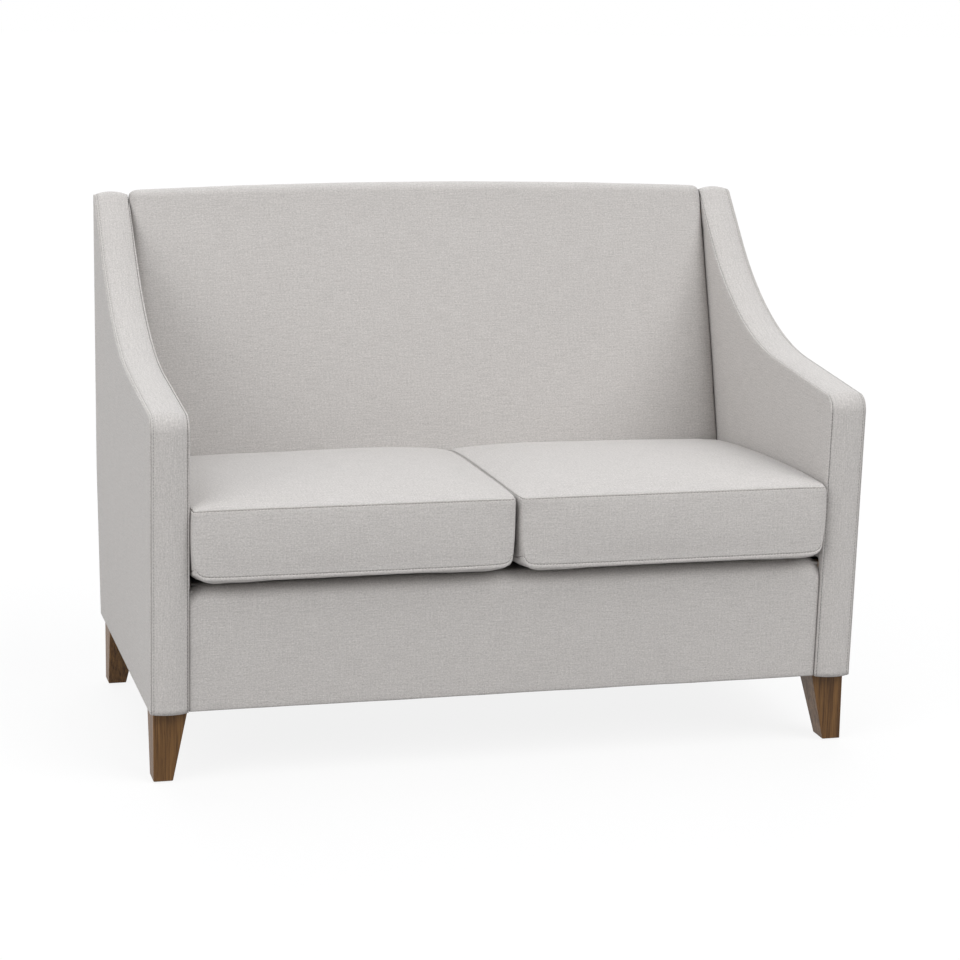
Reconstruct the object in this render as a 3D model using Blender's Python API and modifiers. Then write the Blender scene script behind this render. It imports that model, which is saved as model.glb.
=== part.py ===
"""Two-seat mid-back sofa with swooped arms, a tight back and two loose seat cushions.

Metres, +Z up. The floor is Z = 0, the sofa faces -Y, and the origin is under its middle.
Left and right are the viewer's, so left is -X.
"""

import math

import bmesh
import bpy
from mathutils import Matrix, Vector

# Overall form
WIDTH = 1.284  # over the outside arms
DEPTH = 0.770  # from the cushion fronts to the outside back
BASE_HEIGHT = 0.127  # floor to the underside of the base
GAP = 0.0003  # between pieces that touch

# Arms, measured on their seam lines
ARM_WIDTH = 0.066
ARM_FRONT_HEIGHT = 0.648
ARM_BACK_HEIGHT = 0.945
ARM_SETBACK = 0.006  # of the arm's front top corner behind the cushion fronts
ARM_LEAN = 0.024  # by which the arm front leans out from base to top
ARM_SLOPE = math.radians(5.0)  # rise of the armrest towards the back
ARM_TOP_FLAT = 0.013  # level stretch at the very top of the arm
ARM_CORNER_RADIUS = 0.028
SWOOP_ANGLE = math.radians(46.0)
SWOOP_RADIUS = 0.600
SWOOP_STRAIGHT = 0.008  # least straight stretch of the arm rail above the swoop
OUTSIDE_PAD = 0.006
INSIDE_PAD = 0.015
BAND_PAD = 0.014
BAND_CROWN = 0.006
SEAM_EDGE = 0.0015  # rounding of the arm's long edges, where the seams lie

# Back
BACK_RISE = 0.020  # of the back's crown above the arms' back height
BACK_THICKNESS = 0.2045  # of the whole back where it meets the seat
BACK_TOP_THICKNESS = 0.037
BACK_CROWN = 0.010
BACK_TOP_CROWN = 0.012
BACK_END_RADIUS = 0.026
BACK_END_TUCK = 0.014
BACK_ROLL_FRONT = 0.58  # of the pad's top width
BACK_ROLL_REAR = 0.36
OUTSIDE_BACK = 0.006
BACK_KICK = 0.040  # by which the lower outside back runs in towards the base
KICK_HEIGHT = 0.415

# Seat
SEAT_HEIGHT = 0.462  # of the seat where it meets the back
SEAT_FRONT_HEIGHT = 0.350  # of the padded base front
SEAT_PITCH = math.radians(2.35)
BASE_PAD = 0.016
BASE_PAD_RADIUS = 0.013
BASE_PAD_WRAP = 0.013  # of the base pad over the top of the front rail
BASE_RECESS = 0.005  # of the base pad behind the arm fronts
DECK = 0.005
CUSHION_THICKNESS = 0.132
CUSHION_SIDE_CROWN = 0.015  # rise of the side seams between front and back
CUSHION_CROWN = 0.013  # further rise of the middle
CUSHION_DRAW = 0.003  # by which the sides pull in between the corners
CUSHION_GAP = 0.003
CUSHION_CLEARANCE = 0.001  # to the arms and the back
CUSHION_SEAM_CREASE = 0.65  # sharpness of the upper seam, from 0 to 1
CUSHION_BASE_CREASE = 0.15
CUSHION_CUTS = ((-0.92, -0.5, 0.0, 0.5, 0.92), (-0.92, -0.45, 0.0, 0.45, 0.92), (-0.75, 0.75))

# Timber frame
RAIL = 0.030
ARM_POST = 0.060
ARM_RAIL = 0.040
BACK_POST_TOP = 0.018
BACK_POST_SEAT = 0.118
SIDE_RAIL_HEIGHT = 0.110
BACK_RAIL_HEIGHT = 0.090
SEAT_RAIL_HEIGHT = 0.070
TACKING_RAIL_HEIGHT = 0.055
TACKING_RAIL_LIFT = 0.040  # above the back seat rail
TOP_RAIL_HEIGHT = 0.075
UPRIGHT_WIDTH = 0.045
UPRIGHT_DEPTH = 0.026
STRETCHER_HEIGHT = 0.070
BLOCK = 0.085
BLOCK_HEIGHT = 0.060

# Springs, straps and dust cover
SPRINGS_PER_SEAT = 4
SPRING_WIDTH = 0.052
SPRING_WIRE = 0.004
SPRING_BENDS = 18
SPRING_BEARING = 0.015  # of a spring's end on its rail
SPRING_TURNS = (-90, -30, 30, 90)  # degrees round a bend
STRAPS = 4
STRAP_WIDTH = 0.060
STRAP = 0.002
STRAP_LAP = 0.040  # of a strap's end on its rail
DUST_COVER = 0.0012
DUST_COVER_INSET = 0.012
DUST_COVER_NOTCH = 0.006  # clear of the legs

# Legs
LEG_TOP = (0.060, 0.074)  # width and depth
LEG_FOOT = (0.034, 0.046)
LEG_SIDE_INSET = 0.007
LEG_END_INSET = 0.015
LEG_CHAMFER = 0.0015
GLIDE_DIAMETER = 0.022
GLIDE_HEIGHT = 0.002
BOLT_DIAMETER = 0.008
BOLT_REACH = 0.036  # into the leg, and as far into the frame

# Levels of detail
SWOOP_STEPS = 12
CORNER_STEPS = 6
SOFT_LEVELS = 1
BACK_STATIONS = (0.0, 0.3, 0.6, 0.85, 1.0)  # shares of the back pad's half width
BACK_END_TURNS = (35, 60, 80)  # degrees round the pad's end
BACK_ROLL_STEPS = 6
LEAST_RADIUS = 0.004
SMOOTH_ANGLE = math.radians(35)

# Planes that several pieces share
SIDES = {"left": -1, "right": 1}
ARM_CENTRE = (WIDTH - ARM_WIDTH) / 2
FRAME_OUTER = WIDTH / 2 - OUTSIDE_PAD
FRAME_INNER = WIDTH / 2 - ARM_WIDTH + INSIDE_PAD
SEAT_HALF = WIDTH / 2 - ARM_WIDTH - CUSHION_CLEARANCE
BACK_HEIGHT = ARM_BACK_HEIGHT + BACK_RISE
BACK_SLOPE = (BACK_THICKNESS - BACK_TOP_THICKNESS) / (BACK_HEIGHT - SEAT_HEIGHT)
SEAT_REAR_Y = DEPTH / 2 - BACK_THICKNESS
ARM_TOP_Y = ARM_SETBACK - DEPTH / 2
ARM_FLAT_Y = DEPTH / 2 - ARM_TOP_FLAT
BACK_INNER_Y = DEPTH / 2 - OUTSIDE_BACK - GAP
FRAME_BOTTOM = BASE_HEIGHT + GAP
FRAME_SLOPE = (BACK_POST_SEAT - BACK_POST_TOP) / (ARM_BACK_HEIGHT - SEAT_HEIGHT)
BAND_BACK = BAND_PAD + GAP


def front_line(z):
    """Depth of the arm front's surface at height z."""
    share = (z - BASE_HEIGHT) / (ARM_FRONT_HEIGHT - BASE_HEIGHT)
    return ARM_TOP_Y + ARM_LEAN * (1 - share)


def back_line(z):
    """Depth of the outside back's surface at height z."""
    share = max(0.0, (KICK_HEIGHT - z) / (KICK_HEIGHT - BASE_HEIGHT))
    return DEPTH / 2 - BACK_KICK * share


def inside_back(z):
    """Depth of the inside back's middle at height z."""
    return SEAT_REAR_Y + BACK_SLOPE * (z - SEAT_HEIGHT)


def frame_line(z):
    """Depth of the front faces of the back posts and back rails at height z."""
    return DEPTH / 2 - OUTSIDE_BACK - BACK_POST_TOP - FRAME_SLOPE * (ARM_BACK_HEIGHT - z)


def deck_line(y):
    """Height of the seat deck's top at depth y."""
    return SEAT_FRONT_HEIGHT - math.tan(SEAT_PITCH) * (y - front_line(SEAT_FRONT_HEIGHT))


def spring_line(y):
    """Height at which the springs bear on their rails at depth y."""
    return deck_line(y) - DECK - SPRING_WIRE - 2 * GAP


def outside_top():
    """Height of the outside back's top edge, which lies just under the arm bands."""
    rise = math.tan(SWOOP_ANGLE) * (BACK_INNER_Y - ARM_FLAT_Y)
    under_steep = ARM_BACK_HEIGHT + rise - BAND_PAD / math.cos(SWOOP_ANGLE)
    return min(ARM_BACK_HEIGHT - BAND_PAD, under_steep) - GAP


def outline(corners, insets, arcs):
    """Points of a polygon, grouped by corner, with each edge moved inwards and corners rounded.

    Corners run anticlockwise, edge i starts at corner i, and an arc is (radius, steps) or None.
    """
    edges = []
    for i, corner in enumerate(corners):
        start = Vector(corner)
        along = (Vector(corners[(i + 1) % len(corners)]) - start).normalized()
        edges.append((start + Vector((-along.y, along.x)) * insets[i], along))
    groups = []
    for i, arc in enumerate(arcs):
        (start_in, along_in), (start_out, along_out) = edges[i - 1], edges[i]
        sine = along_in.cross(along_out)
        corner = start_in + along_in * ((start_out - start_in).cross(along_out) / sine)
        if arc is None:
            groups.append([corner])
            continue
        radius, steps = arc
        side = math.copysign(1, sine)
        radius = max(radius - side * (insets[i - 1] + insets[i]) / 2, LEAST_RADIUS)
        turn = math.atan2(sine, along_in.dot(along_out))
        begin = corner - along_in * radius * math.tan(abs(turn) / 2)
        centre = begin + Vector((-along_in.y, along_in.x)) * side * radius
        spoke = begin - centre
        groups.append([centre + Matrix.Rotation(turn * k / steps, 2) @ spoke for k in range(steps + 1)])
    return groups


def joined(groups):
    return [point for group in groups for point in group]


def swoop_corner():
    """Where the steep and the shallow line of the arm would meet without the swoop's radius."""
    steep = math.tan(SWOOP_ANGLE)
    shallow = math.tan(ARM_SLOPE)
    drop = ARM_BACK_HEIGHT - ARM_FRONT_HEIGHT
    y = (steep * ARM_FLAT_Y - shallow * ARM_TOP_Y - drop) / (steep - shallow)
    return y, ARM_FRONT_HEIGHT + shallow * (y - ARM_TOP_Y)


def arm_tip():
    """Where the steep line of the arm crosses the back posts' front line."""
    steep = math.tan(SWOOP_ANGLE)
    swoop_y, swoop_z = swoop_corner()
    z = (swoop_z - steep * (swoop_y - frame_line(0))) / (1 - steep * FRAME_SLOPE)
    return frame_line(z), z


def swoop_radius():
    """The swoop's radius, or what the straight stretch above it leaves room for under the arm rail."""
    tip_angle = math.pi / 2 - SWOOP_ANGLE - math.atan(FRAME_SLOPE)
    straight = (Vector(arm_tip()) - Vector(swoop_corner())).length
    room = straight - (BAND_BACK + ARM_RAIL) / math.tan(tip_angle) - SWOOP_STRAIGHT
    return min(SWOOP_RADIUS, room / math.tan((SWOOP_ANGLE - ARM_SLOPE) / 2))


def arm_outline(seam, edge):
    """The whole arm from the side: seam insets the front and top, edge the bottom and back."""
    corners = [
        (front_line(BASE_HEIGHT), BASE_HEIGHT),
        (back_line(BASE_HEIGHT), BASE_HEIGHT),
        (DEPTH / 2, KICK_HEIGHT),
        (DEPTH / 2, ARM_BACK_HEIGHT),
        (ARM_FLAT_Y, ARM_BACK_HEIGHT),
        swoop_corner(),
        (ARM_TOP_Y, ARM_FRONT_HEIGHT),
    ]
    insets = [edge, edge, edge, seam, seam, seam, seam]
    swoop = (swoop_radius(), SWOOP_STEPS)
    corner = (ARM_CORNER_RADIUS, CORNER_STEPS)
    return outline(corners, insets, [None, None, None, None, None, swoop, corner])


def inside_outline(seam, edge, front=None):
    """The arm's inner side in front of the back posts and above the seat deck.

    A front inset of its own, apart from the seam's, makes the front top corner square.
    """
    corner = (ARM_CORNER_RADIUS, CORNER_STEPS) if front is None else None
    seat_front = front_line(SEAT_FRONT_HEIGHT)
    rear_low = deck_line(frame_line(SEAT_FRONT_HEIGHT))
    corners = [
        (seat_front, SEAT_FRONT_HEIGHT),
        (frame_line(rear_low), rear_low),
        arm_tip(),
        swoop_corner(),
        (ARM_TOP_Y, ARM_FRONT_HEIGHT),
    ]
    insets = [edge + 2 * GAP, edge + GAP, seam, seam, seam if front is None else front]
    return outline(corners, insets, [None, None, None, (swoop_radius(), SWOOP_STEPS), corner])


def post_top():
    """Height of the back posts and the back top rail, where the arm's padding leaves room for them."""
    return inside_outline(BAND_BACK, 0)[2][0].y


def material(name, color, roughness, metallic=0.0):
    finish = bpy.data.materials.new(name)
    finish.use_nodes = True
    shader = finish.node_tree.nodes["Principled BSDF"]
    shader.inputs["Base Color"].default_value = (*color, 1.0)
    shader.inputs["Roughness"].default_value = roughness
    shader.inputs["Metallic"].default_value = metallic
    return finish


def collection(name):
    group = bpy.data.collections.new(name)
    bpy.context.scene.collection.children.link(group)
    return group


def add_object(name, data, finish=None, parent=None, location=(0, 0, 0), rotation=(0, 0, 0)):
    piece = bpy.data.objects.new(name, data)
    piece.location = location
    piece.rotation_euler = rotation
    piece.parent = parent
    if finish:
        data.materials.append(finish)
    SOFA.objects.link(piece)
    return piece


def mesh_from(bm, name, smooth=True):
    bmesh.ops.recalc_face_normals(bm, faces=bm.faces)
    mesh = bpy.data.meshes.new(name)
    bm.to_mesh(mesh)
    bm.free()
    if smooth:
        mesh.shade_smooth()
        mesh.set_sharp_from_angle(angle=SMOOTH_ANGLE)
    return mesh


def loft(name, sections, finish, parent=None):
    """A padded form through closed sections of equal point counts, closed at both ends."""
    bm = bmesh.new()
    rings = [[bm.verts.new(point) for point in section] for section in sections]
    for ring, following in zip(rings, rings[1:]):
        for i in range(len(ring)):
            bm.faces.new((ring[i - 1], ring[i], following[i], following[i - 1]))
    bm.faces.new(rings[0])
    bm.faces.new(rings[-1])
    return add_object(name, mesh_from(bm, name), finish, parent)


def flat_outline(name, points, thickness):
    """A filled 2D curve of the outline, extruded to the thickness."""
    curve = bpy.data.curves.new(name, "CURVE")
    curve.dimensions = "2D"
    curve.fill_mode = "BOTH"
    curve.extrude = thickness / 2
    spline = curve.splines.new("POLY")
    spline.points.add(len(points) - 1)
    for place, point in zip(spline.points, points):
        place.co = (point[0], point[1], 0, 1)
    spline.use_cyclic_u = True
    return curve


def side_plate(name, points, low, high, finish, parent=None):
    """A board whose outline is given from the side (depth, height), between two places across."""
    curve = flat_outline(name, points, high - low)
    turn = (math.pi / 2, 0, math.pi / 2)
    return add_object(name, curve, finish, parent, ((low + high) / 2, 0, 0), turn)


def cross_rail(name, points, half_length, finish, parent=None):
    return side_plate(name, points, -half_length, half_length, finish, parent)


def drill(piece, cutter):
    """Replaces a flat-outline board by its mesh, with the cutter's hole in it."""
    bpy.context.view_layer.update()
    graph = bpy.context.evaluated_depsgraph_get()
    mesh = bpy.data.meshes.new_from_object(piece.evaluated_get(graph))
    bm = bmesh.new()
    bm.from_mesh(mesh)
    bmesh.ops.remove_doubles(bm, verts=bm.verts, dist=GAP / 10)
    bm.to_mesh(mesh)
    bm.free()
    name = piece.name
    finish, parent = piece.data.materials[0], piece.parent
    location, rotation = piece.location.copy(), piece.rotation_euler.copy()
    mesh.materials.clear()
    bpy.data.objects.remove(piece)
    bored = add_object(name, mesh, finish, parent, location, rotation)
    cut(bored, cutter)
    return bored


def cut(piece, cutter):
    hole = piece.modifiers.new("bolt_hole", "BOOLEAN")
    hole.operation = "DIFFERENCE"
    hole.object = cutter


def cylinder(name, diameter, height, sides=16):
    bm = bmesh.new()
    bmesh.ops.create_cone(
        bm, cap_ends=True, segments=sides, radius1=diameter / 2, radius2=diameter / 2, depth=height
    )
    return mesh_from(bm, name)


# Arms

def arm_upholstery(label, side, parent):
    """Outside panel, inside pad and the crowned band between them, mitred along the seams."""
    half = ARM_WIDTH / 2
    outer_face = half - OUTSIDE_PAD
    inner_face = INSIDE_PAD - half

    def ring(x, points):
        return [(side * x, point.x, point.y) for point in points]

    outside = [
        ring(outer_face + GAP, joined(arm_outline(BAND_BACK, 0))),
        ring(half - SEAM_EDGE, joined(arm_outline(SEAM_EDGE + GAP, 0))),
        ring(half, joined(arm_outline(2 * SEAM_EDGE + BAND_CROWN / 2, 2 * SEAM_EDGE))),
    ]
    loft(f"arm_{label}_outside", outside, FABRIC, parent)

    inside = [
        ring(inner_face - GAP, joined(inside_outline(BAND_BACK + GAP, 0))),
        ring(SEAM_EDGE - half, joined(inside_outline(SEAM_EDGE + 2 * GAP, 0))),
        ring(-half, joined(inside_outline(2 * SEAM_EDGE + BAND_CROWN / 2, 2 * SEAM_EDGE))),
    ]
    loft(f"arm_{label}_inside", inside, FABRIC, parent)

    section = [
        (2 * SEAM_EDGE - half, SEAM_EDGE),
        (6 * SEAM_EDGE - half, -BAND_CROWN * 0.5),
        (-half / 3, -BAND_CROWN),
        (half / 3, -BAND_CROWN),
        (half - 6 * SEAM_EDGE, -BAND_CROWN * 0.5),
        (half - 2 * SEAM_EDGE, SEAM_EDGE),
        (outer_face - SEAM_EDGE, BAND_PAD),
        (inner_face + SEAM_EDGE, BAND_PAD),
    ]
    runs = [joined(arm_outline(depth, 0)[3:] + arm_outline(depth, 0)[:1]) for _, depth in section]
    stations = [
        [(side * x, run[i].x, run[i].y) for (x, _), run in zip(section, runs)] for i in range(len(runs[0]))
    ]
    loft(f"arm_{label}_band", stations, FABRIC, parent)


def arm_frame(label, side, parent):
    """Front post, swooped rail, side rail and back post, all as thick as the space in the arm."""
    low, high = sorted((side * (FRAME_INNER - ARM_CENTRE), side * (FRAME_OUTER - ARM_CENTRE)))
    under_rail = BAND_BACK + ARM_RAIL
    reach = BAND_BACK + ARM_POST
    arm_top = ARM_FRONT_HEIGHT + math.tan(ARM_SLOPE) * reach
    post = outline(
        [
            (front_line(BASE_HEIGHT), BASE_HEIGHT),
            (front_line(BASE_HEIGHT) + reach, BASE_HEIGHT),
            (ARM_TOP_Y + reach, arm_top),
            (ARM_TOP_Y, ARM_FRONT_HEIGHT),
        ],
        [GAP, 0, under_rail + GAP, BAND_BACK],
        [None] * 4,
    )
    front_post = side_plate(f"arm_{label}_front_post", joined(post), low, high, TIMBER, parent)

    upper = joined(inside_outline(BAND_BACK, 0)[2:])
    lower = joined(inside_outline(under_rail, 0, BAND_BACK)[2:])
    side_plate(f"arm_{label}_swoop_rail", upper + lower[::-1], low, high, TIMBER, parent)

    low_z, high_z = FRAME_BOTTOM, FRAME_BOTTOM + SIDE_RAIL_HEIGHT
    side_rail = [
        (front_line(low_z) + reach + GAP, low_z),
        (frame_line(low_z) - GAP, low_z),
        (frame_line(high_z) - GAP, high_z),
        (front_line(high_z) + reach + GAP, high_z),
    ]
    side_plate(f"arm_{label}_side_rail", side_rail, low, high, TIMBER, parent)

    top = post_top()
    back_post = [
        (frame_line(low_z), low_z),
        (back_line(low_z) - OUTSIDE_BACK - GAP, low_z),
        (BACK_INNER_Y, KICK_HEIGHT),
        (BACK_INNER_Y, top),
        (frame_line(top), top),
    ]
    rear_post = side_plate(f"arm_{label}_back_post", back_post, low, high, TIMBER, parent)
    return {"front": front_post, "rear": rear_post}


# Back

def back_section(x):
    """The back pad cut at x: reclined front, rolled top, and a step that sits on the top rail."""
    half = SEAT_HALF
    into_end = max(0.0, (abs(x) - half + BACK_END_RADIUS) / BACK_END_RADIUS)
    tuck = BACK_END_TUCK * (1 - math.sqrt(1 - min(into_end, 1.0) ** 2))
    bow = (x / half) ** 2
    top = BACK_HEIGHT - BACK_TOP_CROWN * bow - tuck
    recess = BACK_CROWN * bow + tuck

    def front(z):
        return inside_back(z) + recess

    def rear(z):
        return frame_line(z) - STRAP - 2 * GAP

    low = deck_line(inside_back(SEAT_FRONT_HEIGHT)) + CUSHION_CLEARANCE
    step = post_top() + GAP
    lap = outside_top() + GAP
    width = DEPTH / 2 - front(top)
    corners = [
        (front(low), low),
        (rear(low), low),
        (rear(step), step),
        (BACK_INNER_Y, step),
        (BACK_INNER_Y, lap),
        (DEPTH / 2, lap),
        (DEPTH / 2, top),
        (front(top), top),
    ]
    rolls = [(share * width, BACK_ROLL_STEPS) for share in (BACK_ROLL_REAR, BACK_ROLL_FRONT)]
    arcs = [None] * 6 + rolls
    return [(x, point.x, point.y) for point in joined(outline(corners, [0] * 8, arcs))]


def back_upholstery():
    half = SEAT_HALF
    inner = half - BACK_END_RADIUS
    stations = [inner * share for share in BACK_STATIONS]
    stations += [inner + BACK_END_RADIUS * math.sin(math.radians(turn)) for turn in BACK_END_TURNS]
    xs = [-x for x in stations[:0:-1]] + stations
    loft("back_pad", [back_section(x) for x in xs], FABRIC)

    low, high = BASE_HEIGHT, outside_top()
    panel = [
        (back_line(low) - OUTSIDE_BACK, low),
        (back_line(low), low),
        (DEPTH / 2, KICK_HEIGHT),
        (DEPTH / 2, high),
        (DEPTH / 2 - OUTSIDE_BACK, high),
        (DEPTH / 2 - OUTSIDE_BACK, KICK_HEIGHT),
    ]
    cross_rail("outside_back", panel, FRAME_OUTER - GAP, FABRIC)


def back_frame():
    """Rails between the back posts, the centre upright and the elastic straps."""
    length = FRAME_INNER - GAP
    rear = BACK_INNER_Y

    def leaning_rail(name, low, high):
        points = [
            (frame_line(low), low),
            (frame_line(low) + RAIL, low),
            (frame_line(high) + RAIL, high),
            (frame_line(high), high),
        ]
        cross_rail(name, points, length, TIMBER)

    seat_rail_top = spring_line(frame_line(SEAT_FRONT_HEIGHT) + RAIL)
    leaning_rail("back_seat_rail", seat_rail_top - SEAT_RAIL_HEIGHT, seat_rail_top)
    tacking_low = seat_rail_top + TACKING_RAIL_LIFT
    leaning_rail("back_tacking_rail", tacking_low, tacking_low + TACKING_RAIL_HEIGHT)

    top = post_top()
    top_low = top - TOP_RAIL_HEIGHT
    top_rail = [(frame_line(top_low), top_low), (rear, top_low), (rear, top), (frame_line(top), top)]
    cross_rail("back_top_rail", top_rail, length, TIMBER)

    low, high = FRAME_BOTTOM, FRAME_BOTTOM + BACK_RAIL_HEIGHT
    bottom_rail = [(bottom_rail_front(low), low), (bottom_rail_front(low) + RAIL, low)]
    bottom_rail += [(bottom_rail_front(high) + RAIL, high), (bottom_rail_front(high), high)]
    cross_rail("back_bottom_rail", bottom_rail, length, TIMBER)

    foot = high + GAP
    head = top_low - GAP
    upright = [
        (back_line(foot) - OUTSIDE_BACK - GAP - UPRIGHT_DEPTH, foot),
        (back_line(foot) - OUTSIDE_BACK - GAP, foot),
        (rear, KICK_HEIGHT),
        (rear, head),
        (rear - UPRIGHT_DEPTH, head),
        (rear - UPRIGHT_DEPTH, KICK_HEIGHT),
    ]
    cross_rail("back_centre_upright", upright, UPRIGHT_WIDTH / 2, TIMBER)

    strap_low = tacking_low + TACKING_RAIL_HEIGHT - STRAP_LAP
    strap_high = top_low + STRAP_LAP
    face = [(frame_line(z) - GAP, z) for z in (strap_low, strap_high)]
    points = [(face[0][0] - STRAP, strap_low), face[0], face[1], (face[1][0] - STRAP, strap_high)]
    for i in range(STRAPS):
        centre = SEAT_HALF * (2 * (i + 0.5) / STRAPS - 1)
        low_x, high_x = centre - STRAP_WIDTH / 2, centre + STRAP_WIDTH / 2
        side_plate(f"back_strap_{i + 1}", points, low_x, high_x, WEBBING)


def bottom_rail_front(z):
    """Depth of the bottom back rail's front face at height z."""
    return back_line(z) - OUTSIDE_BACK - GAP - RAIL


# Seat

def front_rail_face(z):
    """Depth of the front rail's front face at height z."""
    return front_line(z) + BASE_RECESS + BASE_PAD + GAP


def seat_frame():
    """Front rail, centre stretcher and corner blocks."""
    length = FRAME_INNER - GAP
    low = FRAME_BOTTOM
    rough_top = spring_line(front_rail_face(SEAT_FRONT_HEIGHT))
    front_y = front_rail_face(rough_top)
    rail = [
        (front_rail_face(low), low),
        (front_rail_face(low) + RAIL, low),
        (front_y + RAIL, spring_line(front_y + RAIL)),
        (front_y, spring_line(front_y)),
    ]
    cross_rail("front_rail", rail, length, TIMBER)

    high = low + STRETCHER_HEIGHT
    stretcher = [
        (front_rail_face(low) + RAIL + GAP, low),
        (bottom_rail_front(low) - GAP, low),
        (bottom_rail_front(high) - GAP, high),
        (front_rail_face(high) + RAIL + GAP, high),
    ]
    cross_rail("centre_stretcher", stretcher, UPRIGHT_WIDTH / 2, TIMBER)

    ends = {"front": front_rail_face(low) + RAIL + GAP, "rear": bottom_rail_front(low) - GAP}
    for end, y in ends.items():
        inwards = 1 if end == "front" else -1
        for label, side in SIDES.items():
            x = side * length
            corner = [(x, y), (x - side * BLOCK, y), (x, y + inwards * BLOCK)]
            block = flat_outline(f"corner_block_{end}_{label}", corner, BLOCK_HEIGHT)
            add_object(block.name, block, TIMBER, None, (0, 0, low + BLOCK_HEIGHT / 2))


def seat_springs():
    """Zigzag wires from the front rail to the back seat rail, flat under the deck."""
    start = front_rail_face(SEAT_FRONT_HEIGHT) + BASE_PAD_WRAP + SPRING_WIRE
    finish = frame_line(SEAT_FRONT_HEIGHT) + SPRING_BEARING
    step = (finish - start) / SPRING_BENDS
    reach = (SPRING_WIDTH - step) / 2
    run = [Vector((-reach, start))]
    for bend in range(SPRING_BENDS):
        side = 1 if bend % 2 == 0 else -1
        centre = Vector((side * reach, start + step * (bend + 0.5)))
        for turn in SPRING_TURNS:
            angle = math.radians(turn)
            run.append(centre + Vector((side * math.cos(angle), math.sin(angle))) * step / 2)
    run.append(Vector((-run[-1].x, finish)))
    seat_width = SEAT_HALF - CUSHION_GAP / 2
    for label, side in SIDES.items():
        for i in range(SPRINGS_PER_SEAT):
            centre = side * (CUSHION_GAP / 2 + seat_width * (i + 0.5) / SPRINGS_PER_SEAT)
            curve = bpy.data.curves.new(f"seat_spring_{label}_{i + 1}", "CURVE")
            curve.dimensions = "3D"
            curve.bevel_depth = SPRING_WIRE / 2
            curve.bevel_resolution = 0
            curve.use_fill_caps = True
            spline = curve.splines.new("POLY")
            spline.points.add(len(run) - 1)
            for place, point in zip(spline.points, run):
                height = spring_line(point.y) + GAP + SPRING_WIRE / 2
                place.co = (point.x, point.y, height, 1)
            add_object(curve.name, curve, STEEL, None, (centre, 0, 0))
    print(f"springs: {step - SPRING_WIRE:.4f} m between neighbouring runs of one wire")


def seat_upholstery():
    """The padded base front that wraps over the front rail, and the deck behind it."""
    top = SEAT_FRONT_HEIGHT
    rail_y = front_rail_face(spring_line(front_rail_face(top)))
    wrap_end = rail_y + BASE_PAD_WRAP
    pad = outline(
        [
            (front_line(BASE_HEIGHT) + BASE_RECESS, BASE_HEIGHT),
            (front_rail_face(BASE_HEIGHT) - GAP, BASE_HEIGHT),
            (rail_y - GAP, spring_line(rail_y) + GAP),
            (wrap_end, spring_line(wrap_end) + GAP),
            (wrap_end, deck_line(wrap_end)),
            (front_line(top) + BASE_RECESS, top),
        ],
        [0] * 6,
        [None] * 5 + [(BASE_PAD_RADIUS, CORNER_STEPS)],
    )
    cross_rail("base_pad", joined(pad), WIDTH / 2 - ARM_WIDTH + SEAM_EDGE, FABRIC)

    front = wrap_end + GAP
    rear = frame_line(SEAT_FRONT_HEIGHT) + RAIL
    deck = [(front, deck_line(front) - DECK), (rear, deck_line(rear) - DECK)]
    deck += [(rear, deck_line(rear)), (front, deck_line(front))]
    cross_rail("seat_deck", deck, SEAT_HALF, DECK_CLOTH)


def cushion(label, side):
    """A box cushion: flat below, crowned above, sides drawn in, its back cut to the recline."""
    half = (SEAT_HALF - CUSHION_GAP / 2) / 2
    centre = side * (CUSHION_GAP / 2 + half)
    front = -DEPTH / 2
    origin = Vector((centre, front, deck_line(front) + GAP))

    def shape(u, v, w):
        lift = CUSHION_THICKNESS * (w + 1) / 2
        rear = inside_back(deck_line(SEAT_REAR_Y) + lift) - CUSHION_CLEARANCE
        y = front + (rear - front) * (v + 1) / 2
        z = deck_line(y) + GAP + lift
        x = centre + u * (half - CUSHION_DRAW * (1 - v * v))
        if w == 1:
            z += (CUSHION_SIDE_CROWN + CUSHION_CROWN * (1 - u * u)) * (1 - v * v)
        return Vector((x, y, z)) - origin

    bm = bmesh.new()
    bmesh.ops.create_cube(bm, size=2)
    for axis, places in enumerate(CUSHION_CUTS):
        normal = Vector((0, 0, 0))
        normal[axis] = 1
        for place in places:
            everything = bm.verts[:] + bm.edges[:] + bm.faces[:]
            bmesh.ops.bisect_plane(bm, geom=everything, plane_co=normal * place, plane_no=normal)
    crease = bm.edges.layers.float.new("crease_edge")
    for edge in bm.edges:
        level = all(abs(vert.co.z) == 1 for vert in edge.verts)
        border = any(all(abs(vert.co[axis]) == 1 for vert in edge.verts) for axis in (0, 1))
        if level and border:
            upper = edge.verts[0].co.z > 0
            edge[crease] = CUSHION_SEAM_CREASE if upper else CUSHION_BASE_CREASE
    for vert in bm.verts:
        vert.co = shape(*vert.co)
    name = f"seat_cushion_{label}"
    piece = add_object(name, mesh_from(bm, name), FABRIC, None, origin)
    soft = piece.modifiers.new("soft", "SUBSURF")
    soft.levels = SOFT_LEVELS
    soft.render_levels = SOFT_LEVELS


# Base

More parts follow.
